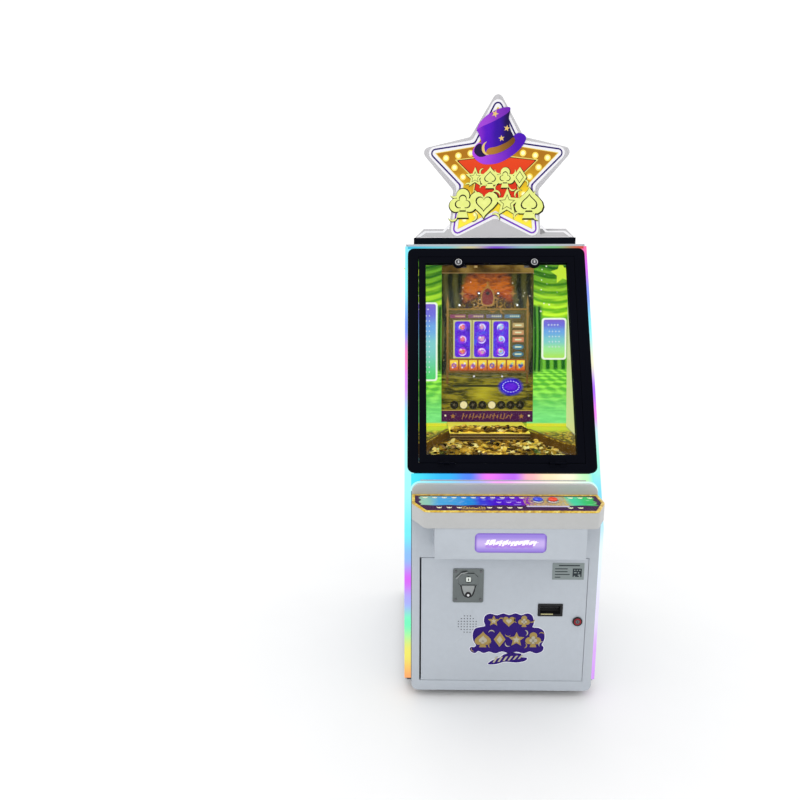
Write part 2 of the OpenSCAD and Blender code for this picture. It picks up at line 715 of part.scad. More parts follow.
guide_y = push_y + 63;
mouth_y = guide_y - 212;
module side_decks() {
    e = pusher_w / 2 + pusher_gap;
    color("khaki") for (m = [0, 1]) mirror([m, 0, 0]) translate([0, 0, bed_z]) linear_extrude(step_h)
        polygon([[e, push_y + 190], [e, guide_y], [e + 102, mouth_y], [in_w - fit, bed_y],
            [in_w - fit, push_y + 190]]);
}
slot_x = 14;
module bed_plate() {
    color("silver") difference() {
        box(-in_w + fit, in_w - fit, bed_y, y_back - fit, bed_z - bed_t, bed_z);
        box(-slot_x, slot_x, lug_y - 14, lug_y + stroke + 14, bed_z - 20, bed_z + 5);
        box(nozzle_x - 27, nozzle_x + 27, y_back - 40, y_back + 1, bed_z - 20, bed_z + 5);
    }
}
module bed_coins() {
    e = pusher_w / 2 - 1;
    color("gold") translate([0, 0, bed_z]) linear_extrude(coin_h) polygon([[-e, push_y - 2],
        [e, push_y - 2], [e + 28, guide_y - 62 - 10], [e + 96, mouth_y], [e + 96, bed_y + 8],
        [-e - 96, bed_y + 8], [-e - 96, mouth_y], [-e - 28, guide_y - 62 - 10]]);
}
module target_rail() {
    color("silver") on_wall() {
        difference() {
            for (x = [-1, 1]) box(min(x * (wall_cut - 1), x * (wall_cut - 8)),
                max(x * (wall_cut - 1), x * (wall_cut - 8)),
                target_s - 30, target_s + 30, rail_n - 10, -board_t);
            translate([0, target_s, rail_n]) rod_x(-wall_cut - 1, wall_cut + 1, 4 + run);
        }
        for (s = [-20, 20]) translate([0, target_s + s, rail_n]) rod_x(-wall_cut + 2, wall_cut - 2, 4);
        difference() {
            translate([0, target_s, rail_n]) rod_x(-wall_cut - 40, -wall_cut + 1, 14);
            translate([0, target_s, rail_n]) rod_x(-wall_cut - 20, -wall_cut + 2, 4 + run);
        }
    }
}
module target_screw() {
    color("gray") on_wall() translate([0, target_s, rail_n]) {
        rod_x(-wall_cut - 15, wall_cut - 2, 4);
        rod_x(-wall_cut + 8.5, wall_cut - 8.5, 5);
    }
}
module target_carriage() {
    color("darkviolet") on_wall() translate([target_run, target_s, 0]) {
        difference() {
            box(-20, 20, -28, 28, rail_n - 7, rail_n + 7);
            for (s = [-20, 20]) translate([0, s, rail_n]) rod_x(-21, 21, 4 + run);
            translate([0, 0, rail_n]) rod_x(-21, 21, 5 + run);
        }
        box(-6, 6, -3, 3, rail_n + 6, 5);
        translate([0, -2.5, 4]) linear_extrude(6) polygon(ellipse_pts(43, 30));
    }
}
module pusher() {
    z0 = bed_z + 0.5;
    w = pusher_w / 2;
    color("silver") {
        difference() {
            box(-w, w, push_y, push_y + pusher_l, z0, step_z);
            box(-w + 4, w - 4, push_y + 4, push_y + pusher_l - 4, z0 - 1, step_z - 4);
        }
        box(-slot_x + 2, slot_x - 2, lug_y - 12, lug_y + 12, rod_z + 10, step_z - 3);
        translate([0, lug_y, rod_z - 1]) cylinder(h = 12, r = pin_r);
        translate([0, lug_y, rod_z - 4]) cylinder(h = 3.5, r = pin_r + 4);
    }
    color("gold") box(-w + 5, w - 5, push_y + 6, push_y + 170, step_z, step_z + coin_h);
}
module connecting_rod() {
    color("dimgray") translate([0, 0, rod_z]) difference() {
        union() {
            translate([0, lug_y, 0]) cylinder(h = 8, r = 13);
            translate([0, lug_y - rod_l, 0]) cylinder(h = 8, r = 13);
            box(-8, 8, lug_y - rod_l, lug_y, 0, 8);
        }
        translate([0, lug_y, -1]) cylinder(h = 10, r = pin_r + run);
    }
}
crank_t = 10;
crank_z = rod_z - 22;
module crank_disc() {
    color("gray") translate([0, crank_c, crank_z]) {
        cylinder(h = crank_t, r = stroke / 2 + 14);
        translate([0, -stroke / 2, 0]) cylinder(h = 22 - 0.6, r = pin_r);
        translate([0, 0, -26]) cylinder(h = 27, r = 6);
    }
}
module pusher_motor() {
    z1 = crank_z - 4;
    color("dimgray") {
        difference() {
            box(-45, 45, crank_c - 45, crank_c + 45, z1 - 60, z1);
            translate([0, crank_c, z1 - 30]) cylinder(h = 40, r = 6 + run);
        }
        for (x = [-1, 1]) box(min(x * 60, x * 56), max(x * 60, x * 56), crank_c - 30, crank_c + 30,
            z1 - 64, bed_z - bed_t - fit);
        box(-60, 60, crank_c - 30, crank_c + 30, z1 - 64, z1 - 60);
    }
}

// Coin path and electrics
function funnel_xz(i) = [[-300 + i, bed_z - bed_t - fit], [300 - i, bed_z - bed_t - fit],
    [hop_w / 2 - 8 - i, hop_z + hop_h + 4], [-hop_w / 2 + 8 + i, hop_z + hop_h + 4]];
function funnel_yz(i) = [[bed_y - 118 + i, bed_z - bed_t - fit], [bed_y + 10 - i, bed_z - bed_t - fit],
    [hop_y + 70 - i, hop_z + hop_h + 4], [hop_y - 50 + i, hop_z + hop_h + 4]];
module funnel(i) {
    intersection() {
        wall_xz(-400, 800) polygon(funnel_xz(i));
        side_yz(-400, 800) polygon(funnel_yz(i));
    }
}
module coin_chute() {
    color("lightgray") difference() {
        funnel(0);
        translate([0, 0, 0.1]) funnel(2.5);
        translate([0, 0, -0.1]) funnel(2.5);
    }
}
module coin_hopper() {
    w = hop_w / 2;
    color([0.15, 0.15, 0.17]) difference() {
        union() {
            box(-w, w, hop_y - w, hop_y + w, hop_z, hop_z + hop_h);
            for (x = [-1, 1], y = [-1, 1]) translate([x * (w - 10) - 10, hop_y + y * (w - 10) - 10, base_z])
                cube([20, 20, hop_z - base_z + 1]);
        }
        box(-w + 4, w - 4, hop_y - w + 4, hop_y + w - 4, hop_z + 70, hop_z + hop_h + 1);
        translate([0, hop_y, hop_z + 15]) cylinder(h = 60, r = w - 12);
        translate([0, hop_y, hop_z - 1]) cylinder(h = 20, r = 6 + run);
    }
}
module hopper_disc() {
    color("silver") translate([0, hop_y, hop_z + 16]) difference() {
        union() {
            cylinder(h = 6, r = hop_w / 2 - 16);
            cylinder(h = 16, r = 14);
            translate([0, 0, -14]) cylinder(h = 15, r = 6);
        }
        for (a = [0:60:300]) rotate(a) translate([55, 0, -1]) cylinder(h = 8, r = 14);
    }
}
module coin_lift() {
    x0 = nozzle_x - 25;
    x1 = nozzle_x + 25;
    y1 = y_back - 2;
    y0 = y1 - 26;
    z0 = base_z;
    z1 = roof_under - 4;
    color("gainsboro") difference() {
        union() {
            box(x0, x1, y0, y1, z0, z1);
            box(x0, x1, hop_y + hop_w / 2 + fit, y0 + 1, hop_z + 16, hop_z + 46);
            box(x0, x1, wall_y + 12, y0 + 1, z1 - 24, z1);
        }
        box(x0 + 3, x1 - 3, y0 + 3, y1 - 3, z0 + 60, z1 - 3);
        box(x0 + 3, x1 - 3, hop_y + hop_w / 2, y0 + 4, hop_z + 19, hop_z + 43);
        box(x0 + 3, x1 - 3, wall_y + 11, y0 + 4, z1 - 21, z1 - 3);
    }
}
module power_supply() {
    color("silver") box(150, 310, y_back - 140, y_back - 20, base_z, base_z + 62);
}
module main_board() {
    x1 = in_w - fit;
    color("darkgreen") for (y = [0, 160], z = [0, 120]) translate([x1 - 10, y + 60, z + 340])
        rotate([0, 90, 0]) cylinder(h = 10, r = 4);
    color("green") box(x1 - 13, x1 - 10, 40, 240, 320, 480);
    color("black") for (y = [70, 130, 190]) box(x1 - 25, x1 - 12.9, y - 15, y + 15, 380, 420);
}

// Service door and what it carries
module service_door() {
    y0 = y_door;
    z0 = door_z;
    x1 = door_x + door_w;
    n = 3;
    pitch = 2 * speaker_r / (2 * n + 1);
    color("white") difference() {
        union() {
            difference() {
                box(door_x, x1, y0, y0 + door_t, z0, z0 + door_h);
                box(door_x + sheet_t, x1 - sheet_t, y0 + sheet_t, y0 + door_t + 1,
                    z0 + sheet_t, z0 + door_h - sheet_t);
            }
            for (z = [z0, z0 + door_h - 14]) box(door_x, door_x + 20, y0, y0 + door_t, z, z + 14);
        }
        for (z = [z0 - 1, z0 + door_h - 14 - 1]) translate([pivot_x, pivot_y, z])
            cylinder(h = 16, r = pivot_r + run);
        box(acceptor_x - 44, acceptor_x + 44, y0 - 1, y0 + 5, acceptor_z - 54, acceptor_z + 54);
        box(ticket_x - ticket_w / 2 + 5, ticket_x + ticket_w / 2 - 5, y0 - 1, y0 + 5,
            ticket_z - ticket_h / 2 + 5, ticket_z + ticket_h / 2 - 5);
        translate([lock_x, 0, lock_z]) rod_y(y0 - 1, y0 + 5, 11 + fit);
        for (i = [-n:n], j = [-n:n]) if (norm([i, j]) <= n + 0.3)
            translate([speaker_x + i * pitch, 0, speaker_z + j * pitch]) rod_y(y0 - 1, y0 + 5, 2.2);
    }
}
module coin_acceptor_plate() {
    color("silver") translate([acceptor_x, 0, acceptor_z]) difference() {
        union() {
            wall_xz(y_door - 3, 3) rect2(acceptor_w, acceptor_h, 6);
            wall_xz(y_door - 8, 6) polygon([[-34, 10], [-34, 34], [-20, 48], [20, 48], [34, 34], [34, 10],
                [22, 2], [-22, 2]]);
        }
        translate([0, 0, 26]) rod_y(y_door - 10, y_door - 4, 13);
        box(-2, 2, y_door - 10, y_door + 1, 14, 38);
        translate([0, 0, -34]) rod_y(y_door - 10, y_door + 1, return_r + 0.1);
        for (x = [-1, 1], z = [-1, 1]) translate([x * (acceptor_w / 2 - 10), 0, z * (acceptor_h / 2 - 10)])
            rod_y(y_door - 10, y_door + 1, 2.5 + fit);
    }
}
module coin_acceptor_body() {
    color([0.1, 0.1, 0.1]) translate([acceptor_x, 0, acceptor_z]) difference() {
        box(-43.5, 43.5, y_door + fit, y_door + 66, -53.5, 53.5);
        box(-2, 2, y_door - 1, y_door + 60, 10, 40);
        translate([0, 0, -34]) rod_y(y_door - 1, y_door + 24, return_r + 0.1);
    }
}
module coin_return_button() {
    color([0.15, 0.15, 0.16]) translate([acceptor_x, 0, acceptor_z - 34]) rod_y(y_door - 7, y_door + 16, return_r);
}
module acceptor_screws() {
    color("silver") translate([acceptor_x, 0, acceptor_z])
        for (x = [-1, 1], z = [-1, 1]) translate([x * (acceptor_w / 2 - 10), 0, z * (acceptor_h / 2 - 10)]) {
            rod_y(y_door - 5, y_door - 3, 4.5);
            rod_y(y_door - 4, y_door, 2.5);
        }
}
module ticket_bezel() {
    color([0.08, 0.08, 0.08]) translate([ticket_x, 0, ticket_z]) difference() {
        union() {
            wall_xz(y_door - 2, 2) rect2(ticket_w, ticket_h, 3);
            wall_xz(y_door - 1, 26) rect2(ticket_w - 10 - 2 * fit, ticket_h - 10 - 2 * fit, 2);
        }
        wall_xz(y_door - 3, 24) rect2(ticket_w - 16, ticket_h - 16, 2);
        box(-34, 34, y_door + 10, y_door + 30, -6, 0);
    }
}
module ticket_dispenser() {
    color("dimgray") translate([ticket_x, 0, ticket_z]) difference() {
        box(-40, 40, y_door + 25 + fit, y_door + 145, -50, 50);
        box(-34, 34, y_door + 20, y_door + 60, -6, 0);
    }
}
module speaker() {
    color([0.12, 0.12, 0.12]) translate([speaker_x, 0, speaker_z]) {
        rod_y(y_door + sheet_t + fit, y_door + 8, speaker_r + 12);
        translate([0, y_door + 26, 0]) rotate([90, 0, 0]) cylinder(h = 19, r1 = 26, r2 = speaker_r + 6);
        rod_y(y_door + 25, y_door + 40, 28);
    }
}
module door_plates() {
    color("gray") wall_xz(y_door - 0.8, 0.8) translate([222.5, 499.5]) rect2(111, 63, 2);
    color("indigo") wall_xz(y_door - 1.2, 1.2) {
        translate([22.5, 303]) rect2(171, 70, 16);
        translate([17.5, 229.5]) rect2(257, 111, 30);
        translate([22, 165]) rect2(130, 61, 16);
    }
}
module door_lock_body() {
    color([0.15, 0.15, 0.16]) translate([lock_x, 0, lock_z]) difference() {
        union() {
            rod_y(y_door - 4, y_door, 17.5);
            rod_y(y_door - 1, y_door + 17, 11);
            rod_y(y_door + sheet_t + fit, y_door + 6, 15);
        }
        rod_y(y_door - 5, y_door + 20, 7 + run);
    }
}
module door_lock_plug() {
    color("silver") translate([lock_x, 0, lock_z]) {
        rod_y(y_door - 5, y_door + 24, 7);
        box(-7, 7, y_door + door_t + 1.5, y_door + door_t + 4.5, 0, 42);
    }
}

base_frame();
levelling_feet();
side_panel_left();
side_panel_right();
roof_panel();
rear_panel();
power_inlet();
front_cabinet();
shelf_housing();
sub_box();
sign_window_lens();
deck_panel();
deck_trim();
button_bezels();
edge_lights();
outer_frame();
glass_hinge_leaves();
top_bar();
sign_board();
sign_art();
back_wall();
playfield_board();
display_panel();
playfield_cover();
placards();
canopy();
side_decks();
bed_plate();
bed_coins();
target_rail();
pusher_motor();
coin_chute();
coin_hopper();
coin_lift();
power_supply();
main_board();
service_door();
coin_acceptor_plate();
coin_acceptor_body();
acceptor_screws();
ticket_bezel();
ticket_dispenser();
speaker();
door_plates();
door_lock_body();
door_lock_plug();
coin_return_button();
glass_door_frame();
front_glass();
glass_lock_left();
glass_lock_right();
blue_button();
red_button();
coin_nozzle();
target_carriage();
target_screw();
pusher();
crank_disc();
connecting_rod();
hopper_disc();
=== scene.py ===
"""Looks of a coin pusher cabinet: casings, lights, sign, playfield art, coins and controls."""
import json
import math
import random
import bpy
from bpy.props import FloatProperty, FloatVectorProperty, IntProperty, PointerProperty
from bpy.types import Operator, Panel, PropertyGroup
from mathutils import Matrix, Vector


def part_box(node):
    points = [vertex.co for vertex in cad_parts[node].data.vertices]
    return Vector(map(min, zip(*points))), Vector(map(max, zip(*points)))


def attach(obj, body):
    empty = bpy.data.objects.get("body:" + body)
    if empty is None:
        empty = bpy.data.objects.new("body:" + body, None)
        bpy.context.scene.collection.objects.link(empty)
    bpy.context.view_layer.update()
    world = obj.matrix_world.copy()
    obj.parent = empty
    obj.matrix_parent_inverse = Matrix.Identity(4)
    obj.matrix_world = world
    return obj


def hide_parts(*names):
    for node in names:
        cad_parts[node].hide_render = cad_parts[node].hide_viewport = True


bl_info = {
    "name": "Coin pusher cabinet",
    "version": (1, 0, 0),
    "blender": (4, 5, 0),
    "location": "3D View > Sidebar > Coin pusher",
    "description": "Builds the finishes, art, lights and coins of a coin pusher cabinet round its frame",
    "category": "Object",
}

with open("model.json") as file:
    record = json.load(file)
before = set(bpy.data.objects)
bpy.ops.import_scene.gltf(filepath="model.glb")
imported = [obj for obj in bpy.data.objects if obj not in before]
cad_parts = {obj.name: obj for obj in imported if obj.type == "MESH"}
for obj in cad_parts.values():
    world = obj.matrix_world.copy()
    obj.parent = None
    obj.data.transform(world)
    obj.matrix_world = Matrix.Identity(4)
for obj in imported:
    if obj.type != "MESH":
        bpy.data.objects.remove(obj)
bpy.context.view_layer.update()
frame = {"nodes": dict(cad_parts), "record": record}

# Planes that carry flat work: the sloping front, the leaning back wall and the upright front
SLOPE_TILT = math.radians(23.4)
WALL_TILT = math.radians(9.4)
FRAME_LEN = 0.8704
BOARD_LEN = 0.640

# Places on the playfield board: prize holes, target ring and the cover's screws (across, up the board)
HOLE_PITCH = 0.0404
HOLE_S = 0.073
TARGET_X = 0.100
TARGET_S = 0.1525
COVER_SCREWS = ((0.041, 0.549), (0.123, 0.498), (0.060, 0.196))


def leaning(origin, tilt):
    """Matrix whose x is the machine's x, y runs up the leaning plane and z points out of it."""
    return Matrix((
        (1, 0, 0, origin[0]),
        (0, math.sin(tilt), -math.cos(tilt), origin[1]),
        (0, math.cos(tilt), math.sin(tilt), origin[2]),
        (0, 0, 0, 1)))


FRAME_LO, FRAME_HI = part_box("outer_frame")
BOARD_LO, BOARD_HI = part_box("playfield_board")
DOOR_LO, DOOR_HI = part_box("service_door")
DECK_LO, DECK_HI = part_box("deck_panel")
BED_LO, BED_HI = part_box("bed_plate")
PUSH_LO, PUSH_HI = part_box("pusher")
SIGN_LO, SIGN_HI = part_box("sign_board")
LENS_LO, LENS_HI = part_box("sign_window_lens")
BAR_LO, BAR_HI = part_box("top_bar")
SLOPE = leaning((0, FRAME_LO.y, FRAME_HI.z - FRAME_LEN * math.cos(SLOPE_TILT)), SLOPE_TILT)
WALL = leaning((0, BOARD_LO.y, BOARD_HI.z - BOARD_LEN * math.cos(WALL_TILT)), WALL_TILT)


def upright(y):
    """Matrix of an upright plane at that depth, facing the player."""
    return leaning((0, y, 0), 0)


# Small kit for modelling with operators
def deselect():
    bpy.ops.object.select_all(action="DESELECT")


def take(obj):
    deselect()
    obj.select_set(True)
    bpy.context.view_layer.objects.active = obj
    return obj


def settle(obj, matrix=None):
    """Puts the object's place into its mesh."""
    take(obj)
    if matrix is not None:
        obj.matrix_world = matrix @ obj.matrix_world
    bpy.ops.object.transform_apply(location=True, rotation=True, scale=True)
    return obj


def modify(obj, kind, **settings):
    take(obj)
    mod = obj.modifiers.new(kind.lower(), kind)
    for key, value in settings.items():
        setattr(mod, key, value)
    bpy.ops.object.modifier_apply(modifier=mod.name)
    return obj


def soften(obj, width, segments=2, angle=35):
    modify(obj, "BEVEL", width=width, segments=segments, limit_method="ANGLE",
           angle_limit=math.radians(angle), use_clamp_overlap=True)
    return smooth(obj)


def smooth(obj, angle=35):
    take(obj)
    bpy.ops.object.shade_smooth_by_angle(angle=math.radians(angle))
    return obj


def join(objs, name):
    deselect()
    for o in objs:
        o.select_set(True)
    bpy.context.view_layer.objects.active = objs[0]
    if len(objs) > 1:
        bpy.ops.object.join()
    objs[0].name = name
    return objs[0]


def block(x0, x1, y0, y1, z0, z1, bevel=0.0, segments=2):
    """A box between two corners, with softened edges."""
    deselect()
    bpy.ops.mesh.primitive_cube_add(size=1, location=((x0 + x1) / 2, (y0 + y1) / 2, (z0 + z1) / 2))
    obj = bpy.context.object
    obj.scale = (abs(x1 - x0), abs(y1 - y0), abs(z1 - z0))
    settle(obj)
    return soften(obj, bevel, segments) if bevel else obj


def disc(x, y, r, z0, z1, sides=32, bevel=0.0):
    """A round on the local plane, from height z0 to z1."""
    deselect()
    bpy.ops.mesh.primitive_cylinder_add(vertices=sides, radius=r, depth=z1 - z0,
                                        location=(x, y, (z0 + z1) / 2))
    obj = settle(bpy.context.object)
    return soften(obj, bevel) if bevel else smooth(obj)


def ring(x, y, r0, r1, z0, z1, sides=40):
    """A flat ring: a torus squashed to the given height."""
    deselect()
    bpy.ops.mesh.primitive_torus_add(location=(x, y, (z0 + z1) / 2), major_radius=(r0 + r1) / 2,
                                     minor_radius=(r1 - r0) / 2, major_segments=sides, minor_segments=8)
    obj = bpy.context.object
    obj.scale = (1, 1, (z1 - z0) / (r1 - r0))
    return smooth(settle(obj), 60)


def outline(points, z0, z1, bevel=0.0):
    """A flat shape with that outline: a many-sided round whose corners are moved, then extruded."""
    deselect()
    bpy.ops.mesh.primitive_circle_add(vertices=len(points), radius=1, fill_type="NGON")
    obj = bpy.context.object
    for vert, point in zip(obj.data.vertices, points):
        vert.co = (point[0], point[1], z0)
    bpy.ops.object.mode_set(mode="EDIT")
    bpy.ops.mesh.select_all(action="SELECT")
    bpy.ops.mesh.extrude_region_move(TRANSFORM_OT_translate={"value": (0, 0, z1 - z0)})
    bpy.ops.mesh.select_all(action="SELECT")
    bpy.ops.mesh.normals_make_consistent(inside=False)
    bpy.ops.object.mode_set(mode="OBJECT")
    return soften(obj, bevel) if bevel else smooth(obj, 30)


def spin_points(count, radius, start=90.0, x=0.0, y=0.0):
    return [(x + radius(i) * math.cos(math.radians(start + 360 * i / count)),
             y + radius(i) * math.sin(math.radians(start + 360 * i / count))) for i in range(count)]


def star(x, y, r, z0, z1, inner=0.45, points=5, turn=0.0, bevel=0.0):
    return outline(spin_points(2 * points, lambda i: r if i % 2 == 0 else r * inner, 90 + turn, x, y),
                   z0, z1, bevel)


def corners(x0, x1, y0, y1):
    """Corners of an upright rectangle, anticlockwise."""
    return [(x0, y0), (x1, y0), (x1, y1), (x0, y1)]


def rounded_corners(points, radius, steps=6):
    """The outline with each corner replaced by an arc."""
    out = []
    count = len(points)
    for i in range(count):
        before, here, after = (Vector(points[j % count]) for j in (i - 1, i, i + 1))
        u = (before - here).normalized()
        v = (after - here).normalized()
        half = u.angle(v) / 2
        centre = here + (u + v).normalized() * radius / math.sin(half)
        start = here + u * radius / math.tan(half) - centre
        end = here + v * radius / math.tan(half) - centre
        a0 = math.atan2(start.y, start.x)
        sweep = (math.atan2(end.y, end.x) - a0 + math.pi) % (2 * math.pi) - math.pi
        out += [(centre.x + radius * math.cos(a0 + sweep * k / steps),
                 centre.y + radius * math.sin(a0 + sweep * k / steps)) for k in range(steps + 1)]
    return out


def flowing(points, steps=4):
    """A smooth closed curve through the points."""
    out = []
    count = len(points)
    for i in range(count):
        a, b, c, d = (Vector(points[(i + j - 1) % count]) for j in range(4))
        for k in range(steps):
            t = k / steps
            q = 0.5 * (2 * b + (c - a) * t + (2 * a - 5 * b + 4 * c - d) * t ** 2 + (3 * b - a - 3 * c + d) * t ** 3)
            out.append((q.x, q.y))
    return out


def grown(points, d):
    """The outline pushed outwards by d; its points run against the clock."""
    out = []
    count = len(points)
    for i in range(count):
        before, here, after = (Vector(points[j % count]) for j in (i - 1, i, i + 1))
        way = (here - before).normalized() + (after - here).normalized()
        way.normalize()
        out.append((here.x + way.y * d, here.y - way.x * d))
    return out


def crescent(x, y, r, z0, z1, turn=0.0, fat=0.3):
    """A curved swash that tapers to two points."""
    outer = [turn + 20 * k for k in range(10)]
    pts = [(x + r * math.cos(math.radians(a)), y + r * math.sin(math.radians(a))) for a in outer]
    for k, a in enumerate(reversed(outer)):
        inner = r * (1 - fat * math.sin(math.pi * k / 9))
        if 0 < k < 9:
            pts.append((x + inner * math.cos(math.radians(a)), y + inner * math.sin(math.radians(a))))
    return outline(pts, z0, z1)


def heart(x, y, r, z0, z1, turn=0):
    """A card heart; turned half round and given a foot it is a spade."""
    pts = []
    for i in range(24):
        a = 2 * math.pi * i / 24
        px = 16 * math.sin(a) ** 3
        py = 13 * math.cos(a) - 5 * math.cos(2 * a) - 2 * math.cos(3 * a) - math.cos(4 * a)
        pts.append((px * r / 16, py * r / 16))
    if turn:
        pts = [(-px, -py) for px, py in pts]
    return outline([(x + px, y + py) for px, py in reversed(pts)], z0, z1)


def spade(x, y, r, z0, z1):
    foot = outline([(x - r * 0.45, y - r * 1.05), (x + r * 0.45, y - r * 1.05), (x + r * 0.08, y - r * 0.2),
                    (x - r * 0.08, y - r * 0.2)], z0, z1)
    return join([heart(x, y, r, z0, z1, turn=1), foot], "spade")


def club(x, y, r, z0, z1):
    parts = [disc(x + dx * r, y + dy * r, r * 0.46, z0, z1, 20)
             for dx, dy in ((0, 0.5), (-0.48, -0.15), (0.48, -0.15))]
    parts.append(outline([(x - r * 0.4, y - r), (x + r * 0.4, y - r), (x + r * 0.08, y + 0.1 * r),
                          (x - r * 0.08, y + 0.1 * r)], z0, z1))
    return join(parts, "club")


def diamond(x, y, r, z0, z1):
    return outline([(x, y + r), (x - r * 0.7, y), (x, y - r), (x + r * 0.7, y)], z0, z1)


def dress(obj, name, material, body, slot, *nodes):
    """Names the finished piece, gives it its finish and lets it ride."""
    obj.name = name
    obj.data.materials.clear()
    obj.data.materials.append(material)
    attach(obj, body)
    if nodes:
        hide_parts(*nodes)
    return obj


NODE_BODY = {n: b for b, ns in frame["record"]["behaviour"]["bodies"].items() for n in ns}
NODE_SLOT = {s["node"]: s["material_slot"] for s in frame["record"]["subparts"]}


def casing(node, material, width=0.0012, segments=2):
    """A copy of a frame piece with its loose triangles merged and its edges softened."""
    source = frame["nodes"][node]
    obj = source.copy()
    obj.data = source.data.copy()
    obj.parent = None
    obj.matrix_world = Matrix.Identity(4)
    for key in list(obj.keys()):
        del obj[key]
    bpy.context.scene.collection.objects.link(obj)
    take(obj)
    bpy.ops.object.mode_set(mode="EDIT")
    bpy.ops.mesh.select_all(action="SELECT")
    bpy.ops.mesh.remove_doubles(threshold=0.00001)
    bpy.ops.mesh.dissolve_limited(angle_limit=math.radians(0.5))
    bpy.ops.object.mode_set(mode="OBJECT")
    if width:
        soften(obj, width, segments)
    else:
        smooth(obj)
    return dress(obj, node + "_finished", material, NODE_BODY[node], NODE_SLOT[node], node)


# Shader kit: a value that can be used in Python expressions
class Val:
    def __init__(self, paint, socket):
        self.paint = paint
        self.socket = socket

    def __add__(self, o): return self.paint.math("ADD", self, o)
    def __radd__(self, o): return self.paint.math("ADD", o, self)
    def __sub__(self, o): return self.paint.math("SUBTRACT", self, o)
    def __rsub__(self, o): return self.paint.math("SUBTRACT", o, self)
    def __mul__(self, o): return self.paint.math("MULTIPLY", self, o)
    def __rmul__(self, o): return self.paint.math("MULTIPLY", o, self)
    def __truediv__(self, o): return self.paint.math("DIVIDE", self, o)
    def __rtruediv__(self, o): return self.paint.math("DIVIDE", o, self)
    def __neg__(self): return self.paint.math("MULTIPLY", self, -1.0)
    def __lt__(self, o): return self.paint.math("LESS_THAN", self, o)
    def __gt__(self, o): return self.paint.math("GREATER_THAN", self, o)
    def __pow__(self, o): return self.paint.math("POWER", self, o)
    def __mod__(self, o): return self.paint.math("FLOORED_MODULO", self, o)


